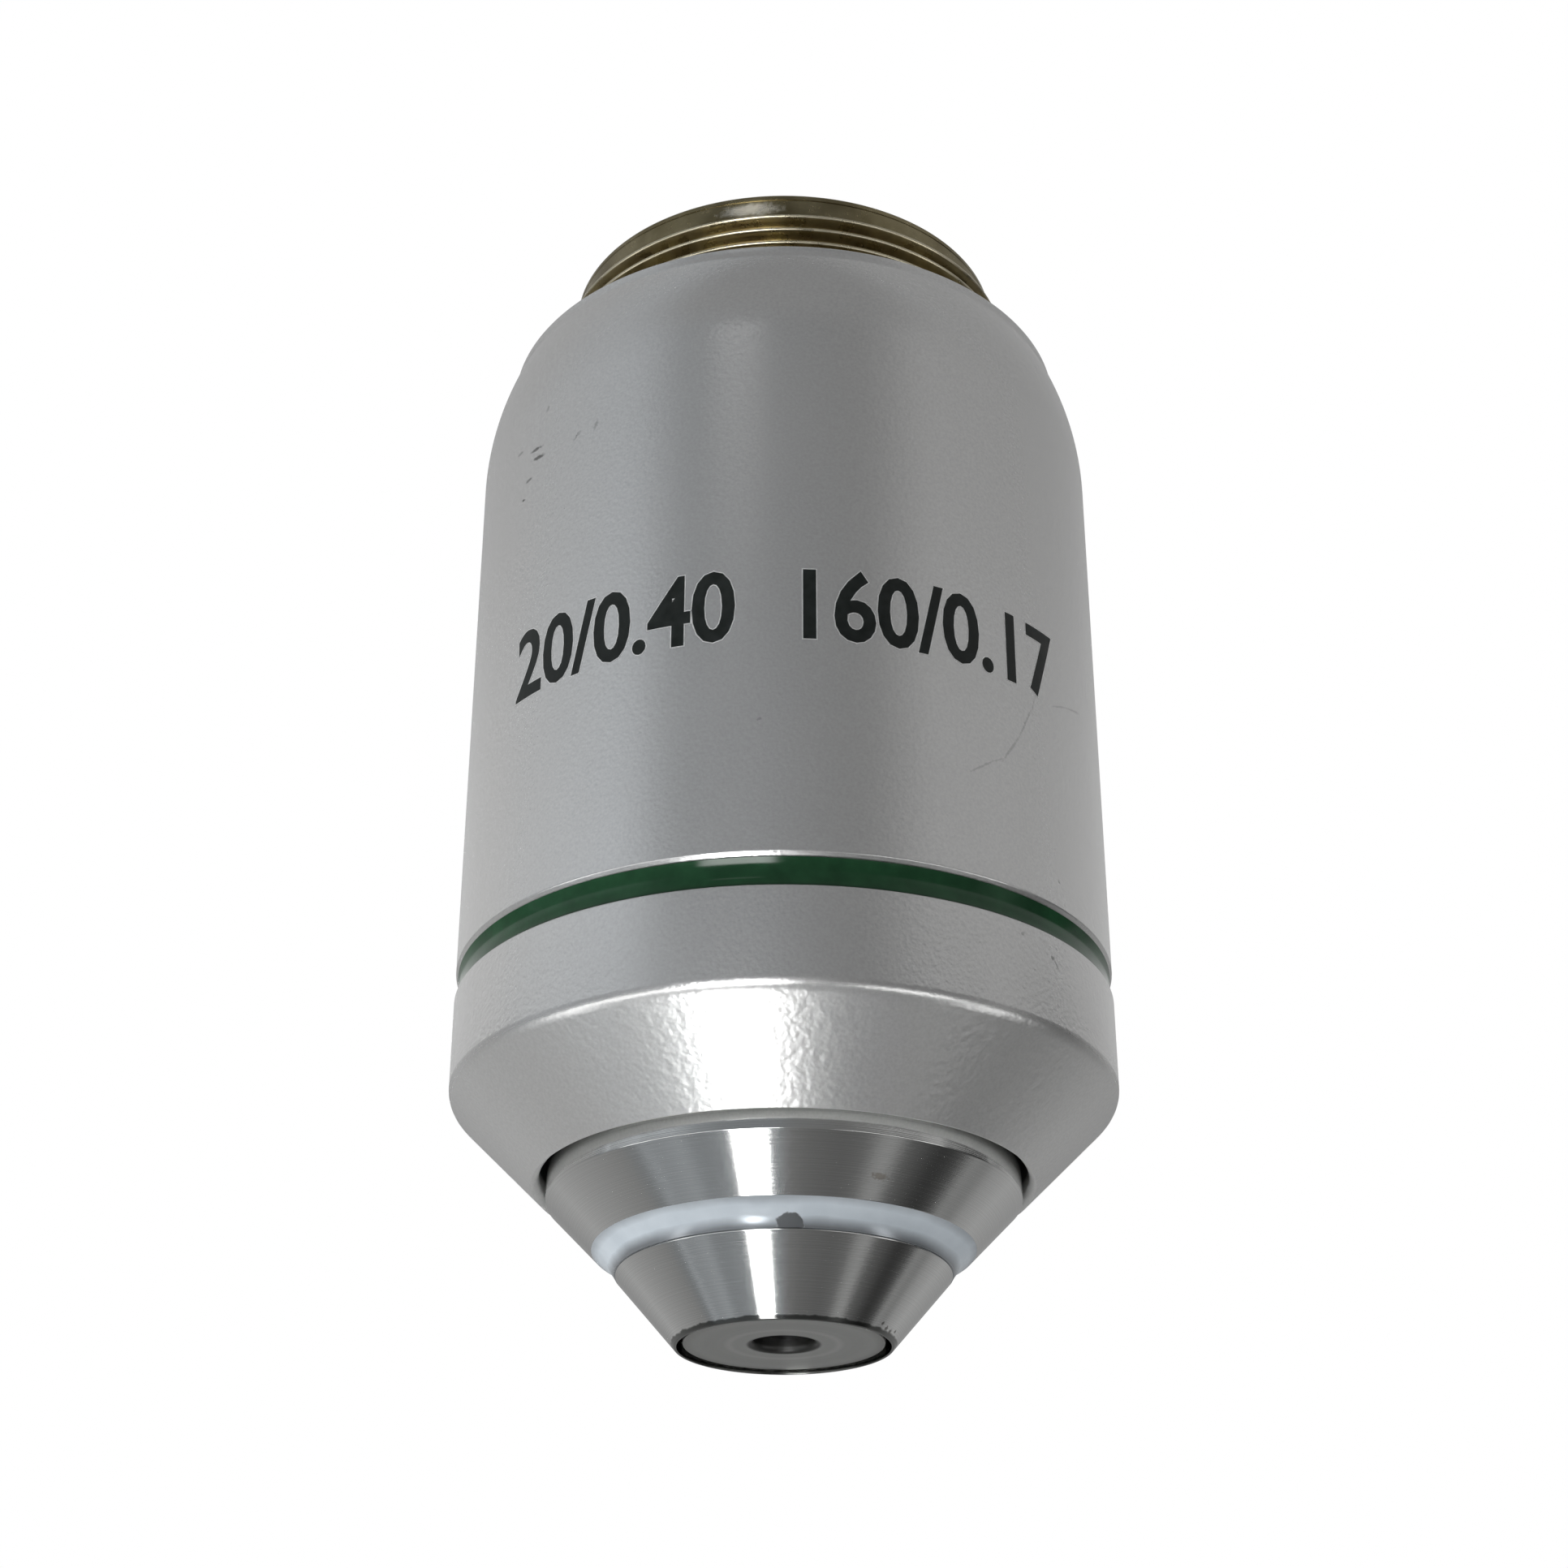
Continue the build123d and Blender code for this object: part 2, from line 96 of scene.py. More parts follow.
# Upper sleeve
SEAT_CLEARANCE = 0.02
SLEEVE_BORE = TUBE_RADIUS + SEAT_CLEARANCE
BARREL_RADIUS = SLEEVE_BORE + 2.55
SHOULDER_RADIUS = BARREL_RADIUS - 1.11
SHOULDER_LAND = 0.42
DOME_HEIGHT = 5.08
BAND_TOP = -28.77
SLEEVE_RELIEF = SLEEVE_BORE + 0.98
SLEEVE_RIB_BOTTOM = -MOUNT_FLANGE_HEIGHT - 3.0
SLEEVE_PILOT_TOP = BAND_TOP + 4.2
SLEEVE_EDGE_BEVEL = 0.18

# Coloured band and lower sleeve, which ends in a cone of 45 degrees
BAND_BOTTOM = BAND_TOP - 1.15
BAND_RECESS = 0.1
BAND_HOLLOW = 0.1
CONE_TOP = BAND_BOTTOM - 3.92
CONE_CORNER = 0.7
NOSE_RADIUS = 9.45
NOSE_PASSAGE = NOSE_RADIUS + 0.3
MOUTH_RADIUS = NOSE_PASSAGE + 0.28
MOUTH_HEIGHT = CONE_TOP - (BARREL_RADIUS - MOUTH_RADIUS)
MOUTH_RIM = 0.03
STEP_HEIGHT = TUBE_BOTTOM - 0.3

# Nose, and the white ring between its cones
NOSE_TOP = -35.4
NOSE_EDGE = MOUTH_HEIGHT - 0.58
RING_TOP_RADIUS = 7.58
RING_TOP = NOSE_EDGE - 1.94
RING_BOTTOM_RADIUS = 6.66
RING_BOTTOM = RING_TOP - 0.94
RING_DEPTH = 0.35
RING_HOLLOW = 0.1
RIM_RADIUS = 4.27
RIM_BORE = RIM_RADIUS - 0.1
TIP = RING_BOTTOM - 2.8
NECK_SOCKET = 8.02
NECK_END = -38.39
STACK_BORE = 6.0
FRONT_SEAT = TIP + 2.35
MIDDLE_SEAT = FRONT_SEAT + 1.2
FRONT_FLANGE_RADIUS = 5.2

# Front plate and lens
FACE = TIP + 0.13
HEAD_RADIUS = RIM_BORE - 0.23
DIMPLE_RADIUS = 1.2
DIMPLE_ROUND = 0.3
LENS_SEAT = FACE + 0.55
LENS_EDGE = 1.75
LENS_CURVE = 1.9
LENS_THICKNESS = 1.6
LENS_WALL = 0.25
CLEAR_RADIUS = 3.3

# Printed numbers. The ink and its border lie a little below the barrel's true radius.
NUMBERS = "20/0.40  160/0.17"
NUMBER_HEIGHT = 3.0
NUMBER_SPAN = 25.0
NUMBER_MIDDLE = -18.25
NUMBER_BOLDNESS = 0.08
NUMBER_BORDER = 0.045
NUMBER_SLICE = 0.3
DIGIT_SHARE = 0.7
TEXT_FINENESS = 4
TEXT_MERGE = 1e-5
SLICE_MARGIN = 1e-6
SHARPEST_CORNER = 0.4
PRINT_DEPTH = 0.012
BORDER_DEPTH = 0.004
PAINT_RADIUS = BARREL_RADIUS - PRINT_DEPTH

# Marks in the paint: azimuth in degrees, height, half length, half width, tilt in degrees, strength
PAINT_MARKS = [
    (-50.6, -7.68, 0.36, 0.075, -6, 0.80),
    (-49.7, -8.18, 0.36, 0.085, -8, 0.85),
    (-56.0, -7.22, 0.22, 0.07, 1, 0.35),
    (-52.4, -8.99, 0.24, 0.07, 2, 0.60),
    (-54.1, -9.80, 0.13, 0.06, -16, 0.80),
    (-39.3, -8.23, 0.20, 0.08, 38, 0.35),
    (-35.0, -8.17, 0.22, 0.08, 65, 0.32),
    (-47.5, -5.99, 0.14, 0.08, 57, 0.25),
    (-4.0, -23.1, 0.10, 0.05, 40, 0.35),
    (34.3, -23.91, 0.70, 0.045, 34, 0.23),
    (37.8, -23.40, 0.38, 0.040, 26, 0.19),
    (41.1, -22.62, 0.85, 0.055, 54, 0.25),
    (44.9, -21.18, 0.95, 0.050, 61, 0.25),
    (47.5, -19.96, 0.46, 0.040, 69, 0.15),
    (55.4, -19.47, 0.55, 0.045, 21, 0.22),
    (60.8, -19.07, 0.70, 0.045, 15, 0.22),
    (41.7, -30.42, 0.11, 0.07, 59, 0.35),
    (49.0, -30.90, 0.13, 0.08, -27, 0.55),
    (50.0, -31.10, 0.22, 0.05, -50, 0.40),
    (52.2, -27.48, 0.07, 0.06, -69, 0.35),
]

# The painted highlight on the pilot, the chip in the ring and the stain on the nose
PILOT_HIGHLIGHT_AZIMUTH = -8.6
PILOT_HIGHLIGHT_HEIGHT = 4.15
PILOT_HIGHLIGHT_SIZE = 0.30
CHIP_CENTRE = (0.25, -6.75, -40.62)
CHIP_SIZE = 0.42
STAIN_CENTRE = (3.55, -7.49, -39.07)
STAIN_SIZE = 0.2

# Small knocks in the rim: azimuth, height, radius and size
NICKS = [
    (56, -43.24, 4.53, 0.07),
    (61, -43.33, 4.45, 0.09),
    (66, -43.36, 4.42, 0.10),
    (71, -43.28, 4.49, 0.07),
]

# What polished metal sees round the horizon, low, high and higher still, as brightness at an azimuth
# from -Y towards +X
SEEN_LOW = [
    (-180, 0.30), (-160, 0.32), (-142, 0.45), (-128, 0.38), (-104, 0.27), (-97, 0.24), (-94.5, 0.26),
    (-93.5, 0.46), (-91.5, 0.46), (-90, 0.31), (-75, 0.385), (-72, 0.37), (-70, 0.285), (-62, 0.28),
    (-54, 0.30), (-4, 0.28), (5, 0.21), (22, 0.165), (50, 0.135), (66, 0.16), (69, 0.26), (79.5, 0.37),
    (83.5, 0.15), (101, 0.04), (107, 0.055), (112.5, 0.11), (115, 0.29), (123, 0.23),
    (128, 0.34), (140, 0.43), (160, 0.32), (180, 0.30),
]
SEEN_HIGH = [
    (-180, 0.62), (-120, 0.73), (-60, 0.82), (-53, 0.74), (-42, 0.38), (-30, 0.25), (-4, 0.22), (29, 0.23),
    (42, 0.42), (52, 0.60), (110, 0.58), (180, 0.62),
]
SEEN_TOP = [
    (-180, 0.42), (-120, 0.44), (-60, 0.48), (-53, 0.45), (-40, 0.27), (-30, 0.23), (29, 0.22),
    (46, 0.36), (52, 0.42), (110, 0.40), (180, 0.42),
]
LOW_TO_HIGH = (0.322, 0.345)
HIGH_TO_TOP = (0.38, 0.56)

# The left of all three is a little blue
COOL_FROM, COOL_TO = -100, 0
COOL = 0.05

# Soft patches of light: azimuth from and to and its softness, height from and to and its softness, level
PATCHES = [
    (-74, -20, 8, -0.42, -0.20, 0.05, 2.7),
    (26, 60, 8, -0.42, -0.20, 0.05, 2.5),
    (-84, -74, 1, -0.66, -0.20, 0.04, 2.6),
    (69, 81, 1, -0.66, -0.20, 0.04, 2.2),
    (-27, -3, 2, -0.36, 0.02, 0.04, 11.0),
    (-27, -9, 2, 0.612, 0.655, 0.01, 1.1),
    (-60, 60, 20, 0.74, 1.10, 0.04, 0.27),
]

# The strip light under the object, as the slope of the directions that see it
STRIP_X = (-0.290, -0.100)
STRIP_Y = (-0.85, -0.22)
STRIP_SKEW = 0.33
STRIP_MIDDLE = -0.32
STRIP_EDGE = 0.02
STRIP_BRIGHTNESS = 17.0
STRIP_TOP = -0.05
LEAST_DOWN = 0.001

# Light that the pattern adds to matt surfaces on every side
SKY_BASE = 0.10

# Lamps: name, place, size and power
LAMPS = [
    ("lamp_below", (-100, -120, -240), 160, 0.10),
    ("lamp_left", (-220, -80, -140), 200, 0.25),
    ("lamp_back", (180, 220, 100), 250, 0.30),
]
LAMP_AIM = (0, 0, -22)

# Floor
FLOOR_HEIGHT = -350
FLOOR_SIZE = 1500
FLOOR_GLOW = 0.45

# Camera, from the size of the shoulder, the mouth and the tip in the photograph
CAMERA_DISTANCE = 99.37
CAMERA_HEIGHT = -68.92
CAMERA_PITCH = 26.625
CAMERA_LENS = 59.42
CAMERA_NEAR = 1
CAMERA_FAR = 10000
SENSOR_WIDTH = 36.0


# Outlines and places

def sag(curve, radius):
    """How far a sphere falls away at a distance from its axis."""
    return curve - math.sqrt(curve * curve - radius * radius)


def arc(centre, radius, start, end, steps):
    """Points on an arc in the (radius, height) plane, angles in radians."""
    points = []
    for step in range(steps + 1):
        angle = start + (end - start) * step / steps
        points.append((centre[0] + radius * math.cos(angle), centre[1] + radius * math.sin(angle)))
    return points


def hollow_arc(start, end, depth):
    """Points on a shallow parabola from start to end that dips towards the axis."""
    length = math.dist(start, end)
    inward = ((end[1] - start[1]) / length, -(end[0] - start[0]) / length)
    points = []
    for step in range(ARC_STEPS + 1):
        share = step / ARC_STEPS
        dip = depth * 4 * share * (1 - share)
        points.append((
            start[0] + (end[0] - start[0]) * share + inward[0] * dip,
            start[1] + (end[1] - start[1]) * share + inward[1] * dip,
        ))
    return points


def eased(corners):
    """A closed outline of (radius, height, ease) corners. Each ease is the radius of a small round,
    which takes at most EASE_LIMIT of an edge, with a SUPPORT point beyond it on a long edge."""
    points = []
    count = len(corners)
    for index, (r, z, ease) in enumerate(corners):
        before, after = corners[index - 1], corners[(index + 1) % count]
        corner = Vector((r, z))
        back = Vector(before[:2]) - corner
        ahead = Vector(after[:2]) - corner
        if ease <= 0 or back.length < TINY or ahead.length < TINY:
            points.append((r, z))
            continue
        half = back.angle(ahead) / 2
        reach = min(ease / math.tan(half), EASE_LIMIT * back.length, EASE_LIMIT * ahead.length)
        radius = reach * math.tan(half)
        a, b = corner + back.normalized() * reach, corner + ahead.normalized() * reach
        middle = corner + (back.normalized() + ahead.normalized()).normalized() * radius / math.sin(half)
        if back.length > 3 * reach + SUPPORT:
            points.append(tuple(a + back.normalized() * SUPPORT))
        for step in range(CORNER_STEPS + 1):
            share = step / CORNER_STEPS
            spoke = (a - middle).lerp(b - middle, share).normalized() * radius
            points.append(tuple(middle + spoke))
        if ahead.length > 3 * reach + SUPPORT:
            points.append(tuple(b + ahead.normalized() * SUPPORT))
    return points


def on_barrel(azimuth, height, radius=BARREL_RADIUS):
    """A point on the barrel, at an azimuth in degrees from -Y towards +X."""
    a = math.radians(azimuth)
    return (radius * math.sin(a), -radius * math.cos(a), height)


# Materials

class Graph:
    """A node tree and helpers that add nodes to it."""

    def __init__(self, tree):
        self.tree = tree

    def node(self, kind, inputs=None, **props):
        made = self.tree.nodes.new(kind)
        for key, value in props.items():
            setattr(made, key, value)
        for key, value in (inputs or {}).items():
            self.feed(made.inputs[key], value)
        return made

    def feed(self, socket, value):
        """Links an output to a socket, or sets the socket's own value."""
        if isinstance(value, bpy.types.NodeSocket):
            self.tree.links.new(value, socket)
        else:
            socket.default_value = value

    def math(self, operation, *values):
        made = self.node("ShaderNodeMath", operation=operation)
        for socket, value in zip(made.inputs, values):
            self.feed(socket, value)
        return made.outputs[0]

    def plus(self, a, b):
        return self.math("ADD", a, b)

    def times(self, a, b):
        return self.math("MULTIPLY", a, b)

    def vector(self, operation, *values):
        made = self.node("ShaderNodeVectorMath", operation=operation)
        for socket, value in zip(made.inputs, values):
            self.feed(socket, value)
        return made.outputs

    def spread(self, value, low, high, to_low=0.0, to_high=1.0):
        """A value mapped from one range to another, and held at the ends."""
        made = self.node("ShaderNodeMapRange", {
            "Value": value, "From Min": low, "From Max": high, "To Min": to_low, "To Max": to_high,
        })
        return made.outputs["Result"]

    def step(self, value, low, high):
        """A smooth rise from 0 to 1 between two values."""
        made = self.node("ShaderNodeMapRange", {
            "Value": value, "From Min": low, "From Max": high,
        }, interpolation_type="SMOOTHSTEP")
        return made.outputs["Result"]

    def between(self, value, low, high, soft):
        """1 between two values, with soft edges, and 0 outside."""
        rise = self.step(value, low - soft, low + soft)
        return self.times(rise, self.step(value, high + soft, high - soft))

    def blend(self, share, a, b):
        """Colour a where the share is 0, and b where it is 1."""
        made = self.node("ShaderNodeMix", data_type="RGBA")
        self.feed(made.inputs["Factor"], share)
        self.feed(made.inputs["A"], a)
        self.feed(made.inputs["B"], b)
        return made.outputs["Result"]


class Look(Graph):
    """A procedural material: a Principled shader and helpers for the nodes that feed it."""

    def __init__(self, name, **settings):
        self.material = bpy.data.materials.new(name)
        self.material.use_nodes = True
        super().__init__(self.material.node_tree)
        self.shader = self.tree.nodes["Principled BSDF"]
        self.place = self.node("ShaderNodeTexCoord").outputs["Object"]
        self.normal = None
        self.shade(**settings)

    def shade(self, **settings):
        """Feeds inputs of the shader. Their names have an underscore for each space."""
        for key, value in settings.items():
            self.feed(self.shader.inputs[key.replace("_", " ")], value)

    def over(self, tone, colour, mask, strength):
        """A tone with some of a colour laid over it where a mask is 1."""
        return self.blend(self.times(mask, strength), tone, colour)

    def noise(self, scale, detail):
        made = self.node("ShaderNodeTexNoise", {"Vector": self.place, "Scale": scale, "Detail": detail})
        return made.outputs["Fac"]

    def noise_along(self, value, scale, detail):
        """Noise that changes only with one value."""
        inputs = {"W": value, "Scale": scale, "Detail": detail}
        return self.node("ShaderNodeTexNoise", inputs, noise_dimensions="1D").outputs["Fac"]

    def evened(self, noise, low=0.0, high=1.0):
        """The middle of a noise's range, where most of it lies, mapped to another range."""
        return self.spread(noise, 0.3, 0.7, low, high)

    def ragged(self, scale, detail, reach):
        """Noise round zero, which makes an edge ragged."""
        return self.times(self.math("SUBTRACT", self.noise(scale, detail), 0.5), reach)

    def parts(self):
        """X, Y and Z, in millimetres."""
        split = self.node("ShaderNodeSeparateXYZ", {"Vector": self.place}).outputs
        return [self.times(part, PER_MM) for part in split]

    def height(self):
        """Z, in millimetres."""
        return self.parts()[2]

    def radius(self):
        """The distance from the axis, in millimetres."""
        x, y = self.parts()[:2]
        return self.math("SQRT", self.plus(self.times(x, x), self.times(y, y)))

    def turning(self, fine):
        """Noise that changes only with radius and height, as turning lines do."""
        return self.noise_along(self.plus(self.radius(), self.height()), fine, 3.0)

    def bump(self, height, strength, depth):
        """Relief of a depth in millimetres, on top of the relief that is there."""
        inputs = {"Height": height, "Strength": strength, "Distance": depth * MM}
        if self.normal:
            inputs["Normal"] = self.normal
        self.normal = self.node("ShaderNodeBump", inputs).outputs["Normal"]
        self.shade(Normal=self.normal)

    def from_point(self, point):
        """The offset from a point."""
        return self.vector("SUBTRACT", self.place, [c * MM for c in point])[0]

    def spot(self, centre, size, stretch=(1, 1, 1), rough=0.35, edge=0.35):
        """1 inside a small ragged mark round a point, 0 outside. A larger stretch makes it longer."""
        scale = [PER_MM / (size * s) for s in stretch]
        scaled = self.vector("MULTIPLY", self.from_point(centre), scale)[0]
        distance = self.vector("LENGTH", scaled)["Value"]
        distance = self.plus(distance, self.ragged(PER_MM / size * 1.5, 4.0, rough * 4))
        return self.spread(distance, 1.0 + edge, 1.0 - edge)

    def stroke(self, azimuth, height, half_length, half_width, tilt, ragged):
        """1 inside a short scratch on the barrel, 0 outside. Its tilt is from level, in degrees."""
        a, t = math.radians(azimuth), math.radians(tilt)
        level = Vector((math.cos(a), math.sin(a), 0))
        outward = Vector((math.sin(a), -math.cos(a), 0))
        upward = Vector((0, 0, 1))
        along = level * math.cos(t) + upward * math.sin(t)
        across = upward * math.cos(t) - level * math.sin(t)
        offset = self.from_point(on_barrel(azimuth, height))
        total = 0.0
        for direction, reach in ((along, half_length), (across, half_width), (outward, 1.0)):
            part = self.vector("DOT_PRODUCT", offset, direction * (PER_MM / reach))["Value"]
            total = self.plus(total, self.times(part, part))
        distance = self.plus(self.math("SQRT", total), ragged)
        return self.spread(distance, 1.35, 0.65)


def satin_silver():
    """Silver lacquer with fine flake, a few marks and hairlines from use, and painted shade deep in the
    nose passage.
    """
    look = Look("satin_silver_paint")
    z, r = look.height(), look.radius()
    dark, light, warm = (0.585, 0.585, 0.578, 1), (0.665, 0.665, 0.658, 1), (0.61, 0.608, 0.598, 1)
    cloud = look.noise(140, 3.0)
    tone = look.blend(look.evened(look.noise(9000, 2.0)), dark, light)
    tone = look.blend(look.evened(cloud, 0.0, 0.3), tone, warm)

    ragged = look.ragged(9000, 3.0, 1.6)
    worn = 0.0
    for azimuth, height, half_length, half_width, tilt, strength in PAINT_MARKS:
        mark = look.stroke(azimuth, height, half_length, half_width, tilt, ragged)
        worn = look.math("MAXIMUM", worn, look.times(mark, strength))
    tone = look.blend(worn, tone, (0.10, 0.10, 0.095, 1))

    # Painted shade: the passage wall for the nose is painted near black from a little above the mouth
    # upwards.
    bore_shade = look.times(look.spread(r, NOSE_PASSAGE + 0.02, NOSE_PASSAGE + 0.005),
                      look.spread(z, MOUTH_HEIGHT + 0.35, MOUTH_HEIGHT + 0.9))
    tone = look.blend(bore_shade, tone, (0.02, 0.02, 0.02, 1))
    bevel = look.times(look.spread(r, MOUTH_RADIUS - 0.01, MOUTH_RADIUS - 0.04),
                       look.spread(z, MOUTH_HEIGHT + 0.35, MOUTH_HEIGHT + 0.25))
    cone = look.spread(z, CONE_TOP + 0.3, CONE_TOP - 0.3)
    rough = look.plus(look.evened(cloud, 0.22, 0.26), look.times(cone, 0.075))
    rough = look.plus(rough, look.times(look.math("MAXIMUM", bore_shade, bevel), 0.3))
    look.shade(Base_Color=tone, Metallic=look.spread(bevel, 0.0, 1.0, 0.72, 0.2), Roughness=rough)

    fine = look.times(look.noise(5500, 1.0), look.spread(cone, 0.0, 1.0, 0.8, 0.35))
    coarse = look.times(look.noise(3300, 1.0), look.times(cone, 1.5))
    look.bump(look.plus(fine, coarse), 1.0, 0.012)
    return look.material


def bare_brass():
    """Bare brass gone olive brown, paler on the crests of the thread, with a painted highlight on the
    pilot.
    """
    look = Look("bare_brass", Metallic=1.0)
    z, r = look.height(), look.radius()
    patch = look.spread(look.noise(700, 4.0), 0.35, 0.65)
    pilot = look.spread(z, THREAD_TOP - 0.03, THREAD_TOP + 0.03)
    tone = look.blend(patch, (0.20, 0.16, 0.085, 1), (0.32, 0.265, 0.14, 1))
    tone = look.blend(pilot, tone, look.blend(patch, (0.19, 0.158, 0.085, 1), (0.29, 0.25, 0.15, 1)))
    # A pale spot painted on the pilot stands for a highlight.
    pilot_highlight = look.spot(on_barrel(PILOT_HIGHLIGHT_AZIMUTH, PILOT_HIGHLIGHT_HEIGHT, PILOT_RADIUS), PILOT_HIGHLIGHT_SIZE, (4, 4, 1), 0.3)
    tone = look.over(tone, (0.90, 0.85, 0.72, 1), pilot_highlight, 0.8)
    crest = look.times(look.spread(r, THREAD_RADIUS - 0.055, THREAD_RADIUS - 0.015),
                       look.math("GREATER_THAN", z, 0.0))
    tone = look.blend(crest, tone, (0.56, 0.51, 0.38, 1))
    rough = look.evened(look.noise(1500, 3.0), 0.22, 0.38)
    look.shade(Base_Color=tone, Roughness=look.math("SUBTRACT", rough, look.times(pilot, 0.08)))
    look.bump(look.turning(9.0), 0.25, 0.01)
    look.bump(look.noise(1800, 3.0), 0.3, 0.015)
    return look.material


def green_enamel():
    """Glossy dark green enamel with soft waves in its surface, and painted shade along its lower edge."""
    look = Look("green_enamel", Specular_IOR_Level=0.3)
    z = look.height()
    dark, light = (0.009, 0.050, 0.019, 1), (0.016, 0.076, 0.030, 1)
    tone = look.blend(look.evened(look.noise(900, 3.0)), dark, light)
    # Painted shade along the lower edge of the band.
    seam_shade = look.spread(z, BAND_BOTTOM + 0.13, BAND_BOTTOM + 0.02)
    tone = look.over(tone, (0.004, 0.012, 0.006, 1), seam_shade, 0.7)
    look.shade(Base_Color=tone, Roughness=look.evened(look.noise(1200, 2.0), 0.07, 0.16))
    look.bump(look.noise(500, 2.0), 0.3, 0.02)
    return look.material


def white_enamel():
    """Pale blue-grey enamel with one chip down to the metal. Its lower edge is grey, partly paint worn thin
    over the metal and partly painted shade, and its top edge has painted shade.
    """
    look = Look("white_enamel", Specular_IOR_Level=0.07)
    z = look.height()
    dark, light = (0.59, 0.65, 0.70, 1), (0.67, 0.73, 0.78, 1)
    tone = look.blend(look.evened(look.noise(800, 3.0)), dark, light)
    height = look.plus(z, look.ragged(500, 3.0, 0.25))
    # The lower edge: partly paint worn thin over the metal, partly painted shade.
    thin = look.spread(height, RING_BOTTOM + 0.42, RING_BOTTOM + 0.05)
    tone = look.over(tone, (0.23, 0.24, 0.25, 1), thin, 0.85)
    # Painted shade along the top edge of the ring.
    upper_shade = look.spread(height, RING_TOP - 0.2, RING_TOP - 0.02)
    tone = look.over(tone, (0.30, 0.32, 0.34, 1), upper_shade, 0.6)
    chip = look.spot(CHIP_CENTRE, CHIP_SIZE, (1.25, 1.6, 0.85), rough=0.22, edge=0.08)
    tone = look.blend(chip, tone, (0.10, 0.105, 0.11, 1))
    bare = look.times(look.math("MAXIMUM", thin, chip), 0.5)
    look.shade(Base_Color=tone, Metallic=bare, Roughness=look.spread(chip, 0.0, 1.0, 0.2, 0.5))
    look.bump(look.noise(420, 2.0), 0.2, 0.02)
    return look.material


def bright_chrome():
    """Turned and plated metal with fine lines round it, a stain, and a ragged dark band along the rim of
    the tip, partly wear and partly a painted dark reflection.
    """
    look = Look("bright_chrome", Metallic=1.0)
    z = look.height()
    lines = look.turning(26.0)
    tone = look.blend(look.evened(lines), (0.60, 0.605, 0.595, 1), (0.72, 0.725, 0.712, 1))
    stain = look.spot(STAIN_CENTRE, STAIN_SIZE, (1.6, 1.6, 0.5), rough=0.6)
    tone = look.over(tone, (0.24, 0.19, 0.13, 1), stain, 0.5)
    # Along the rim of the tip: partly wear, partly a painted dark reflection.
    height = look.plus(z, look.ragged(3000, 3.0, 0.14))
    tone = look.over(tone, (0.05, 0.053, 0.048, 1), look.spread(height, TIP + 0.17, TIP + 0.12), 0.85)
    nicked = 0.0
    for azimuth, nick_height, radius, size in NICKS:
        nick = look.spot(on_barrel(azimuth, nick_height, radius), size, rough=0.5)
        nicked = look.math("MAXIMUM", nicked, nick)
    tone = look.over(tone, (0.10, 0.095, 0.085, 1), nicked, 0.8)
    look.shade(Base_Color=tone, Roughness=look.evened(lines, 0.05, 0.11))
    look.bump(lines, 0.4, 0.0028)
    look.bump(look.noise(4500, 2.0), 0.25, 0.003)
    return look.material


def grey_plate():
    """Fine turned matt grey metal with a few broader rings, and painted shade, near black, in the dimple.
    """
    look = Look("grey_plate")
    r = look.radius()
    lines = look.turning(14.0)
    tone = look.blend(look.evened(lines), (0.30, 0.305, 0.295, 1), (0.385, 0.39, 0.38, 1))
    broad = look.spread(look.noise_along(r, 1.6, 2.0), 0.35, 0.65)
    tone = look.over(tone, (0.27, 0.27, 0.262, 1), broad, 0.45)
    tone = look.over(tone, (0.22, 0.22, 0.21, 1), look.spread(r, HEAD_RADIUS - 0.5, HEAD_RADIUS), 0.5)
    bright_ring = look.times(look.spread(r, 1.95, 2.12), look.spread(r, 2.38, 2.15))
    tone = look.over(tone, (0.50, 0.50, 0.49, 1), bright_ring, 0.35)
    # Painted shade: the dimple and its round are painted near black.
    inside = look.spread(r, DIMPLE_RADIUS + DIMPLE_ROUND, DIMPLE_RADIUS + 0.6 * DIMPLE_ROUND)
    tone = look.blend(inside, tone, (0.006, 0.006, 0.005, 1))
    look.shade(Base_Color=tone, Metallic=look.spread(inside, 0.0, 1.0, 0.85, 0.1),
               Roughness=look.evened(lines, 0.36, 0.5))
    look.bump(lines, 0.35, 0.004)
    look.bump(look.noise(7000, 2.0), 0.4, 0.01)
    return look.material


def black_anodised():
    """Matt black with a fine grain."""
    look = Look("black_anodised", Metallic=0.3, Roughness=0.5)
    dark, light = (0.016, 0.016, 0.017, 1), (0.032, 0.032, 0.034, 1)
    look.shade(Base_Color=look.blend(look.evened(look.noise(3000, 3.0)), dark, light))
    look.bump(look.turning(12.0), 0.3, 0.005)
    return look.material


def cell_brass():
    """Clean turned brass of the lens cells."""
    look = Look("cell_brass", Metallic=1.0, Roughness=0.3)
    lines = look.turning(16.0)
    look.shade(Base_Color=look.blend(look.evened(lines), (0.58, 0.45, 0.20, 1), (0.72, 0.58, 0.30, 1)))
    look.bump(lines, 0.3, 0.004)
    return look.material


def spring_steel():
    """Drawn and ground steel."""
    look = Look("spring_steel", Metallic=1.0)
    dark, light = (0.46, 0.46, 0.47, 1), (0.58, 0.58, 0.59, 1)
    look.shade(Base_Color=look.blend(look.evened(look.noise(2500, 3.0)), dark, light),
               Roughness=look.evened(look.noise(1800, 3.0), 0.18, 0.34))
    return look.material


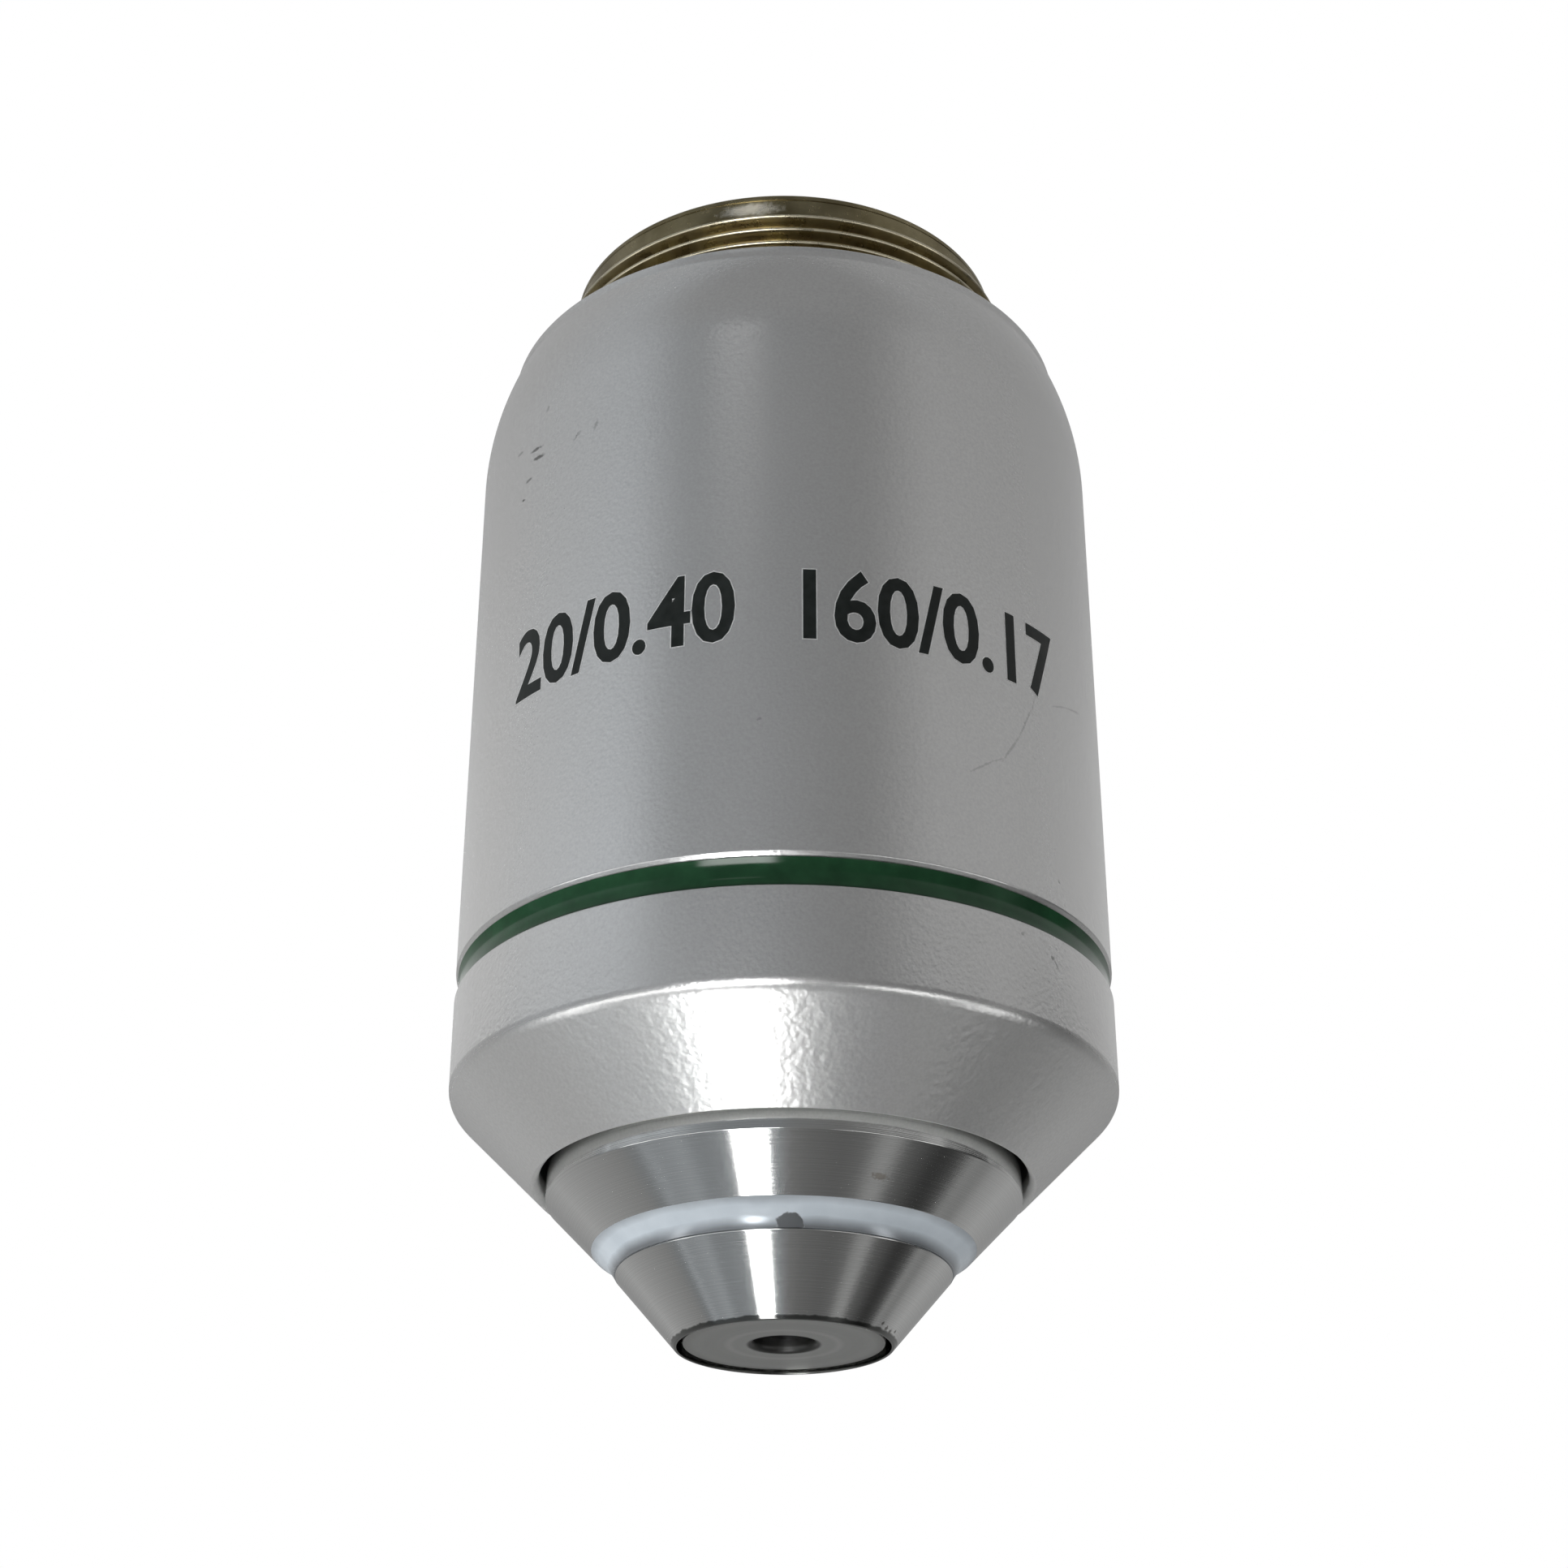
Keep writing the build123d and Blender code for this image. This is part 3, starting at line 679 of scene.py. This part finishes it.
def optical_glass():
    """Polished glass with a thin coating."""
    look = Look("optical_glass", Roughness=0.02, IOR=1.6, Transmission_Weight=1.0)
    dark, light = (0.42, 0.46, 0.47, 1), (0.48, 0.52, 0.53, 1)
    look.shade(Base_Color=look.blend(look.evened(look.noise(300, 2.0)), dark, light),
               Specular_Tint=(0.75, 0.65, 1.0, 1))
    return look.material


def print_black():
    """Black printing ink, slightly uneven."""
    look = Look("print_black", Specular_IOR_Level=0.25)
    uneven = look.noise(2500, 3.0)
    dark, light = (0.005, 0.007, 0.006, 1), (0.012, 0.015, 0.014, 1)
    look.shade(Base_Color=look.blend(look.evened(uneven), dark, light),
               Roughness=look.evened(uneven, 0.34, 0.5))
    return look.material


def print_border():
    """The pale edge that shows round the ink."""
    look = Look("print_border", Roughness=0.4, Metallic=0.4)
    dark, light = (0.66, 0.66, 0.65, 1), (0.78, 0.78, 0.77, 1)
    look.shade(Base_Color=look.blend(look.evened(look.noise(2500, 3.0)), dark, light))
    look.bump(look.noise(5500, 1.0), 0.5, 0.01)
    return look.material


MATERIALS = {
    "satin_silver": satin_silver(),
    "bare_brass": bare_brass(),
    "green_enamel": green_enamel(),
    "white_enamel": white_enamel(),
    "bright_chrome": bright_chrome(),
    "grey_plate": grey_plate(),
    "black_anodised": black_anodised(),
    "cell_brass": cell_brass(),
    "spring_steel": spring_steel(),
    "optical_glass": optical_glass(),
}


# Turned pieces

def turned_point(radius, angle, z):
    """A point in metres, at an angle round the axis from +X."""
    return (radius * math.cos(angle) * MM, radius * math.sin(angle) * MM, z * MM)


def thread_drop(offset):
    """How far the thread's surface lies below its crest, at a distance along Z from the crest."""
    across = abs(offset)
    if across > THREAD_PITCH / 4:
        return THREAD_DEPTH - thread_drop(THREAD_PITCH / 2 - across)
    tangent = THREAD_ROUND * math.cos(THREAD_FLANK)
    if across < tangent:
        return THREAD_ROUND - math.sqrt(THREAD_ROUND**2 - across**2)
    return THREAD_ROUND * (1 - math.sin(THREAD_FLANK)) + (across - tangent) / math.tan(THREAD_FLANK)


def thread_offsets():
    """Places along one pitch, from crest to crest, closer together on the rounds."""
    tangent = THREAD_ROUND * math.cos(THREAD_FLANK)
    beyond = [share * tangent for share in ROUND_SHARES]
    near = [-offset for offset in reversed(beyond)] + [0] + beyond
    middle = THREAD_PITCH / 2
    return near + [middle / 2] + [middle + offset for offset in near] + [1.5 * middle]


def thread_radius_at(z, first_crest):
    """The thread's radius at a height, with a bevel at both its ends."""
    nearest = (z - first_crest + THREAD_PITCH / 2) % THREAD_PITCH - THREAD_PITCH / 2
    bevel = THREAD_RADIUS - THREAD_BEVEL + min(THREAD_TOP - z, z - THREAD_BOTTOM)
    return min(THREAD_RADIUS - thread_drop(nearest), bevel)


def screw_thread(mesh):
    """A right-hand thread whose rows of faces follow the helix, as an open skin from end to end."""
    offsets = thread_offsets()
    turns = math.ceil((THREAD_TOP - THREAD_BOTTOM) / THREAD_PITCH) + 2
    columns = []
    for step in range(ROUND_STEPS + 1):
        share = step / ROUND_STEPS
        angle = 2 * math.pi * share
        first_crest = THREAD_PHASE + THREAD_PITCH * (share - 0.5)
        column = []
        for turn in range(turns):
            for offset in offsets:
                z = first_crest + turn * THREAD_PITCH + offset
                z = min(max(z, THREAD_BOTTOM), THREAD_TOP)
                column.append(mesh.verts.new(turned_point(thread_radius_at(z, first_crest), angle, z)))
        columns.append(column)
    for here, there in zip(columns, columns[1:]):
        for k in range(len(here) - 1):
            mesh.faces.new((here[k], there[k], there[k + 1], here[k + 1]))
    return columns


def turned_mesh(outline, thread, steps):
    """A closed outline turned about Z. A thread, if there is one, joins its last and first points."""
    mesh = bmesh.new()
    rows = []
    for step in range(steps):
        angle = 2 * math.pi * step / steps
        rows.append([mesh.verts.new(turned_point(r, angle, z)) for r, z in outline])
    if thread:
        columns = screw_thread(mesh)
        for step in range(steps):
            here, there = rows[step], rows[(step + 1) % steps]
            near, far = columns[step], columns[step + 1]
            mesh.faces.new((here[-1], there[-1], far[0], near[0]))
            mesh.faces.new((near[-1], far[-1], there[0], here[0]))
    count = len(outline)
    spans = count - 1 if thread else count
    for step in range(steps):
        here, there = rows[step], rows[(step + 1) % steps]
        for k in range(spans):
            m = (k + 1) % count
            if outline[k][0] < TINY and outline[m][0] < TINY:
                continue
            mesh.faces.new((here[k], there[k], there[m], here[m]))
    bmesh.ops.remove_doubles(mesh, verts=mesh.verts, dist=MERGE)
    bmesh.ops.recalc_face_normals(mesh, faces=mesh.faces)
    return mesh


def lathe(name, outline, body, nodes, slot, thread=False, steps=ROUND_STEPS):
    """Makes a turned piece that rides on a body, stands for CAD nodes and has its slot's material."""
    mesh = turned_mesh(outline, thread, steps)
    data = bpy.data.meshes.new(name)
    mesh.to_mesh(data)
    mesh.free()
    data.polygons.foreach_set("use_smooth", [True] * len(data.polygons))
    data.set_sharp_from_angle(angle=SHARP_ANGLE)
    piece = bpy.data.objects.new(name, data)
    bpy.context.scene.collection.objects.link(piece)
    piece.data.materials.append(MATERIALS[slot])
    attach(piece, body)
    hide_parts(*nodes)


def make_mount_tube():
    """The brass mount: a true helical thread between its undercut and its plain pilot."""
    outline = eased([
        (PILOT_RADIUS, THREAD_TOP, 0),
        (PILOT_RADIUS, PILOT_LINE - PILOT_LINE_WIDTH / 2, 0),
        (PILOT_RADIUS - PILOT_LINE_DEPTH, PILOT_LINE, 0),
        (PILOT_RADIUS, PILOT_LINE + PILOT_LINE_WIDTH / 2, 0),
        (PILOT_RADIUS, PILOT_TOP, PILOT_BEVEL),
        (THREAD_BORE + MOUTH_BEVEL, PILOT_TOP, 0.03),
        (THREAD_BORE, PILOT_TOP - MOUTH_BEVEL, 0.03),
        (THREAD_BORE, 0, 0),
        (TUBE_BORE, 0, 0),
        (TUBE_BORE, LIP_TOP, 0),
        (LIP_BORE, LIP_TOP, 0),
        (LIP_BORE, TUBE_BOTTOM, 0),
        (TUBE_RADIUS - MOUTH_BEVEL, TUBE_BOTTOM, 0),
        (TUBE_RADIUS, TUBE_BOTTOM + MOUTH_BEVEL, 0),
        (TUBE_RADIUS, -MOUNT_FLANGE_HEIGHT, 0),
        (MOUNT_FLANGE_RADIUS, -MOUNT_FLANGE_HEIGHT, 0),
        (MOUNT_FLANGE_RADIUS, 0, 0.08),
        (PILOT_RADIUS, 0, 0),
        (PILOT_RADIUS, THREAD_BOTTOM, 0),
    ])
    lathe("mount", outline, "barrel", ["mount_tube"], "bare_brass", thread=True)


def make_upper_sleeve():
    """The long silver sleeve with its domed shoulder."""
    run = PAINT_RADIUS - SHOULDER_RADIUS
    radius = (run * run + DOME_HEIGHT * DOME_HEIGHT) / (2 * run)
    dome_bottom = -SHOULDER_LAND - DOME_HEIGHT
    centre = (PAINT_RADIUS - radius, dome_bottom)
    dome = arc(centre, radius, 0.0, math.asin(DOME_HEIGHT / radius), DOME_STEPS)
    inner = eased([
        (SHOULDER_RADIUS, -SHOULDER_LAND, 0),
        (SHOULDER_RADIUS, 0, 0.1),
        (MOUNT_FLANGE_RADIUS + SEAT_CLEARANCE, 0, 0.06),
        (MOUNT_FLANGE_RADIUS + SEAT_CLEARANCE, -MOUNT_FLANGE_HEIGHT, 0),
        (SLEEVE_BORE, -MOUNT_FLANGE_HEIGHT, 0),
        (SLEEVE_BORE, SLEEVE_RIB_BOTTOM, 0),
        (SLEEVE_RELIEF, SLEEVE_RIB_BOTTOM, 0),
        (SLEEVE_RELIEF, SLEEVE_PILOT_TOP, 0),
        (SLEEVE_BORE, SLEEVE_PILOT_TOP, 0),
        (SLEEVE_BORE, BAND_TOP, 0),
        (PAINT_RADIUS - SLEEVE_EDGE_BEVEL, BAND_TOP, 0.04),
        (PAINT_RADIUS, BAND_TOP + SLEEVE_EDGE_BEVEL, 0.08),
        (PAINT_RADIUS, dome_bottom, 0),
    ])
    lathe("long_sleeve", dome[:-1] + inner[:-1], "barrel", ["upper_sleeve"], "satin_silver")


def make_colour_band():
    """The green enamelled ring with its hollow face."""
    edge = BARREL_RADIUS - BAND_RECESS
    face = hollow_arc((edge, BAND_TOP), (edge, BAND_BOTTOM), BAND_HOLLOW)
    outline = face + [(SLEEVE_BORE, BAND_BOTTOM), (SLEEVE_BORE, BAND_TOP)]
    lathe("code_band", outline, "barrel", ["colour_band"], "green_enamel")


def make_lower_sleeve():
    """The short silver sleeve with its cone and mouth."""
    rim_bore = MOUTH_RADIUS - MOUTH_RIM
    outline = eased([
        (SLEEVE_BORE, BAND_BOTTOM, 0),
        (BARREL_RADIUS, BAND_BOTTOM, 0.07),
        (BARREL_RADIUS, CONE_TOP, CONE_CORNER),
        (MOUTH_RADIUS, MOUTH_HEIGHT, 0.05),
        (rim_bore, MOUTH_HEIGHT, 0),
        (NOSE_PASSAGE, MOUTH_HEIGHT + rim_bore - NOSE_PASSAGE, 0),
        (NOSE_PASSAGE, STEP_HEIGHT, 0),
        (SLEEVE_BORE, STEP_HEIGHT, 0),
    ])
    lathe("cone_sleeve", outline, "barrel", ["lower_sleeve"], "satin_silver")


def make_nosepiece():
    """The bright nose with its two cones."""
    outline = eased([
        (NOSE_RADIUS, NOSE_TOP, 0.15),
        (NOSE_RADIUS, NOSE_EDGE, 0.035),
        (RING_TOP_RADIUS, RING_TOP, 0.03),
        (RING_TOP_RADIUS - RING_DEPTH, RING_TOP, 0),
        (RING_BOTTOM_RADIUS - RING_DEPTH, RING_BOTTOM, 0),
        (RING_BOTTOM_RADIUS, RING_BOTTOM, 0.04),
        (RIM_RADIUS, TIP, 0.075),
        (RIM_BORE, TIP, 0.02),
        (RIM_BORE, FRONT_SEAT, 0),
        (FRONT_FLANGE_RADIUS + SEAT_CLEARANCE, FRONT_SEAT, 0),
        (FRONT_FLANGE_RADIUS + SEAT_CLEARANCE, MIDDLE_SEAT, 0),
        (STACK_BORE, MIDDLE_SEAT, 0),
        (STACK_BORE, NECK_END, 0),
        (NECK_SOCKET, NECK_END, 0),
        (NECK_SOCKET, NOSE_TOP, 0),
    ])
    lathe("nose", outline, "lens_carriage", ["nosepiece"], "bright_chrome")


def make_immersion_ring():
    """The white enamelled ring with its hollow face."""
    face = hollow_arc((RING_TOP_RADIUS, RING_TOP), (RING_BOTTOM_RADIUS, RING_BOTTOM), RING_HOLLOW)
    back = [(RING_BOTTOM_RADIUS - RING_DEPTH, RING_BOTTOM), (RING_TOP_RADIUS - RING_DEPTH, RING_TOP)]
    lathe("white_ring", face + back, "lens_carriage", ["immersion_ring"], "white_enamel")


def make_front_cell():
    """The grey plate in the tip, with its rounded dimple."""
    wall_top = LENS_SEAT + LENS_THICKNESS - sag(LENS_CURVE, LENS_EDGE) + LENS_WALL
    lens_bore = LENS_EDGE + SEAT_CLEARANCE
    outline = eased([
        (DIMPLE_RADIUS, LENS_SEAT, 0),
        (DIMPLE_RADIUS, FACE, DIMPLE_ROUND),
        (HEAD_RADIUS, FACE, 0.05),
        (HEAD_RADIUS, FRONT_SEAT, 0),
        (FRONT_FLANGE_RADIUS, FRONT_SEAT, 0),
        (FRONT_FLANGE_RADIUS, MIDDLE_SEAT, 0),
        (CLEAR_RADIUS, MIDDLE_SEAT, 0),
        (CLEAR_RADIUS, FRONT_SEAT, 0),
        (lens_bore, wall_top, 0),
        (lens_bore, LENS_SEAT, 0),
    ])
    lathe("face_plate", outline, "lens_carriage", ["front_cell"], "grey_plate")


def make_front_lens():
    """The small front lens, flat below and round above."""
    top = LENS_SEAT + LENS_THICKNESS
    reach = math.asin(LENS_EDGE / LENS_CURVE)
    cap = arc((0, top - LENS_CURVE), LENS_CURVE, math.pi / 2 - reach, math.pi / 2, CAP_STEPS)
    cap[-1] = (0.0, top)
    outline = [(0.0, LENS_SEAT), (LENS_EDGE, LENS_SEAT)] + cap
    lathe("tip_lens", outline, "lens_carriage", ["front_lens"], "optical_glass", steps=LENS_STEPS)


# Printed numbers

def curve_mesh(name, curve):
    """The flat mesh of a curve or text. No object is left behind."""
    flat = bpy.data.objects.new(name + "_flat", curve)
    bpy.context.scene.collection.objects.link(flat)
    bpy.context.view_layer.update()
    data = bpy.data.meshes.new_from_object(flat.evaluated_get(bpy.context.evaluated_depsgraph_get()))
    bpy.data.objects.remove(flat)
    return data


def outlines(data):
    """The loops of points round the filled shapes of a flat mesh, with the shape on their left."""
    mesh = bmesh.new()
    mesh.from_mesh(data)
    bmesh.ops.remove_doubles(mesh, verts=mesh.verts, dist=TEXT_MERGE)
    bmesh.ops.recalc_face_normals(mesh, faces=mesh.faces)
    if sum(face.normal.z for face in mesh.faces) < 0:
        bmesh.ops.reverse_faces(mesh, faces=mesh.faces)
    after = {}
    for edge in mesh.edges:
        if len(edge.link_loops) == 1:
            corner = edge.link_loops[0]
            after[corner.vert] = corner.link_loop_next.vert
    loops = []
    while after:
        loop, here = [], next(iter(after))
        while here in after:
            loop.append(here.co.xy.copy())
            here = after.pop(here)
        loops.append(loop)
    mesh.free()
    return loops


def grown(loop, reach):
    """A loop moved away from its shape by a distance, or nothing where that closes a small hole.
    A sharp corner moves less than its edges would take it."""
    points = []
    for k, point in enumerate(loop):
        back = (point - loop[k - 1]).normalized()
        ahead = (loop[(k + 1) % len(loop)] - point).normalized()
        one, two = Vector((back.y, -back.x)), Vector((ahead.y, -ahead.x))
        points.append(point + (one + two) * reach / max(SHARPEST_CORNER, 1 + one.dot(two)))
    kept = sum((points[k] - points[k - 1]).dot(loop[k] - loop[k - 1]) for k in range(len(loop)))
    return points if kept > 0 else []


def filled(name, loops):
    """A flat mesh that fills some loops, with holes where one lies in another."""
    curve = bpy.data.curves.new(name + "_bold", "CURVE")
    curve.dimensions = "2D"
    curve.fill_mode = "BOTH"
    for loop in loops:
        spline = curve.splines.new("POLY")
        spline.points.add(len(loop) - 1)
        for place, point in zip(spline.points, loop):
            place.co = (point.x, point.y, 0, 1)
        spline.use_cyclic_u = True
    return curve_mesh(name, curve)


def wrap(data, low, high, radius):
    """Cuts a flat mesh into upright slices and bends it round the barrel."""
    mesh = bmesh.new()
    mesh.from_mesh(data)
    cut = low + NUMBER_SLICE
    while cut < high:
        everything = mesh.verts[:] + mesh.edges[:] + mesh.faces[:]
        bmesh.ops.bisect_plane(mesh, geom=everything, plane_co=(cut, 0, 0), plane_no=(1, 0, 0),
                               dist=SLICE_MARGIN)
        cut += NUMBER_SLICE
    for v in mesh.verts:
        azimuth = math.degrees(v.co.x / BARREL_RADIUS)
        v.co = Vector(on_barrel(azimuth, NUMBER_MIDDLE + v.co.y, radius)) * MM
    mesh.to_mesh(data)
    mesh.free()


def make_numbers(name, boldness, radius, material):
    """Plain numbers printed round the barrel, with their outlines grown to make them bold."""
    text = bpy.data.curves.new(name, "FONT")
    text.body = NUMBERS
    text.align_x, text.align_y = "CENTER", "CENTER"
    text.size = NUMBER_HEIGHT / DIGIT_SHARE
    text.resolution_u = TEXT_FINENESS
    plain = curve_mesh(name, text)
    low = min(v.co.x for v in plain.vertices)
    high = max(v.co.x for v in plain.vertices)
    squeeze = (NUMBER_SPAN - 2 * NUMBER_BOLDNESS) / (high - low)
    for v in plain.vertices:
        v.co.x *= squeeze
    bold = [grown(loop, boldness) for loop in outlines(plain)]
    data = filled(name, [loop for loop in bold if loop])
    wrap(data, low * squeeze - boldness, high * squeeze + boldness, radius)
    piece = bpy.data.objects.new(name, data)
    bpy.context.scene.collection.objects.link(piece)
    piece.data.materials.clear()
    piece.data.materials.append(material)
    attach(piece, "barrel")


make_mount_tube()
make_upper_sleeve()
make_colour_band()
make_lower_sleeve()
make_nosepiece()
make_immersion_ring()
make_front_cell()
make_front_lens()
make_numbers("numbers_border", NUMBER_BOLDNESS + NUMBER_BORDER, PAINT_RADIUS + BORDER_DEPTH, print_border())
make_numbers("numbers", NUMBER_BOLDNESS, PAINT_RADIUS + 2 * BORDER_DEPTH, print_black())

# The hidden pieces keep their CAD meshes and get a finished surface each
slot_of = {row["node"]: row["material_slot"] for row in frame["record"]["subparts"]}
for node, obj in frame["nodes"].items():
    obj.data.materials.clear()
    obj.data.materials.append(MATERIALS[slot_of[node]])


# Surroundings

def make_lamp(name, place, size, watts):
    """A soft square lamp that faces the middle of the object and isn't seen itself."""
    data = bpy.data.lights.new(name, "AREA")
    data.size = size * MM
    data.energy = watts
    obj = bpy.data.objects.new(name, data)
    bpy.context.scene.collection.objects.link(obj)
    obj.location = Vector(place) * MM
    aim = Vector(LAMP_AIM) - Vector(place)
    obj.rotation_euler = aim.to_track_quat("-Z", "Y").to_euler()
    obj.visible_camera = False
    obj.visible_glossy = False


def grey(level):
    """A grey colour of a brightness."""
    return (level, level, level, 1)


def ramp(sky, share, stops):
    """Brightness round the horizon, from stops at azimuths in degrees."""
    made = sky.node("ShaderNodeValToRGB", {"Fac": share})
    elements = made.color_ramp.elements
    while len(elements) > 1:
        elements.remove(elements[-1])
    for index, (degrees, level) in enumerate(stops):
        at = (degrees + 180) / 360
        element = elements[0] if index == 0 else elements.new(at)
        element.position = at
        cool = COOL if COOL_FROM < degrees < COOL_TO else 0.0
        element.color = (level * (1 - cool), level, level * (1 + cool), 1)
    return made.outputs["Color"]


def studio(sky, azimuth, z):
    """The broad pattern of the studio: three rings of brightness, one above the other."""
    share = sky.plus(sky.math("DIVIDE", azimuth, 2 * math.pi), 0.5)
    lower = sky.blend(sky.step(z, *LOW_TO_HIGH), ramp(sky, share, SEEN_LOW), ramp(sky, share, SEEN_HIGH))
    return sky.blend(sky.step(z, *HIGH_TO_TOP), lower, ramp(sky, share, SEEN_TOP))


def with_patches(sky, pattern, azimuth, z):
    """The pattern with the soft patches of light in it."""
    degrees = sky.times(azimuth, 180 / math.pi)
    for left, right, side_soft, bottom, top, soft, level in PATCHES:
        patch = sky.times(sky.between(degrees, left, right, side_soft), sky.between(z, bottom, top, soft))
        pattern = sky.blend(patch, pattern, grey(level))
    return pattern


def strip_light(sky, x, y, z):
    """1 in the directions that see the strip light below, 0 elsewhere."""
    down = sky.math("MAXIMUM", sky.times(z, -1.0), LEAST_DOWN)
    ahead = sky.math("DIVIDE", y, down)
    lean = sky.times(sky.math("SUBTRACT", ahead, STRIP_MIDDLE), STRIP_SKEW)
    across = sky.math("SUBTRACT", sky.math("DIVIDE", x, down), lean)
    strip = sky.times(sky.between(across, *STRIP_X, STRIP_EDGE), sky.between(ahead, *STRIP_Y, STRIP_EDGE))
    return sky.times(strip, sky.math("LESS_THAN", z, STRIP_TOP))


def make_world():
    """White behind the object, a studio pattern in reflections, a soft sky for the rest."""
    world = bpy.data.worlds.new("studio")
    world.use_nodes = True
    world.cycles.sampling_method = "NONE"
    bpy.context.scene.world = world
    sky = Graph(world.node_tree)
    sky.tree.nodes.clear()
    direction = sky.node("ShaderNodeTexCoord").outputs["Generated"]
    x, y, z = sky.node("ShaderNodeSeparateXYZ", {"Vector": direction}).outputs
    azimuth = sky.math("ARCTAN2", x, sky.times(y, -1.0))
    pattern = studio(sky, azimuth, z)
    mirrored = sky.blend(strip_light(sky, x, y, z), with_patches(sky, pattern, azimuth, z),
                         grey(STRIP_BRIGHTNESS))
    soft = sky.vector("ADD", pattern, (SKY_BASE, SKY_BASE, SKY_BASE))[0]
    path = sky.node("ShaderNodeLightPath").outputs
    shown = sky.blend(path["Is Glossy Ray"], soft, mirrored)
    straight = sky.math("MAXIMUM", path["Is Camera Ray"], path["Is Transmission Ray"])
    shown = sky.blend(straight, shown, grey(1.0))
    background = sky.node("ShaderNodeBackground", {"Color": shown})
    sky.node("ShaderNodeOutputWorld", {"Surface": background.outputs["Background"]})


def make_floor():
    """A pale floor well below the hanging objective."""
    bpy.ops.mesh.primitive_plane_add(size=FLOOR_SIZE * MM, location=(0, 0, FLOOR_HEIGHT * MM))
    floor = bpy.context.object
    floor.name = "floor"
    look = Look("floor_paper", Roughness=0.9)
    paper = look.blend(look.evened(look.noise(40, 3.0)), grey(0.84), grey(0.88))
    seen = look.node("ShaderNodeLightPath").outputs["Is Camera Ray"]
    glow = look.times(seen, FLOOR_GLOW)
    look.shade(Base_Color=paper, Emission_Color=grey(1.0), Emission_Strength=glow)
    floor.data.materials.append(look.material)
    floor.visible_glossy = False


def make_camera():
    """The photograph's view: close, from below, square to the numbers."""
    data = bpy.data.cameras.new("camera")
    data.sensor_width = SENSOR_WIDTH
    data.lens = CAMERA_LENS
    data.clip_start = CAMERA_NEAR * MM
    data.clip_end = CAMERA_FAR * MM
    obj = bpy.data.objects.new("camera", data)
    bpy.context.scene.collection.objects.link(obj)
    obj.location = (0, -CAMERA_DISTANCE * MM, CAMERA_HEIGHT * MM)
    obj.rotation_euler = (math.radians(90 + CAMERA_PITCH), 0, 0)
    bpy.context.scene.camera = obj


for lamp in LAMPS:
    make_lamp(*lamp)
make_world()
make_floor()
make_camera()
bpy.context.scene.view_settings.view_transform = "Standard"

bpy.context.view_layer.update()
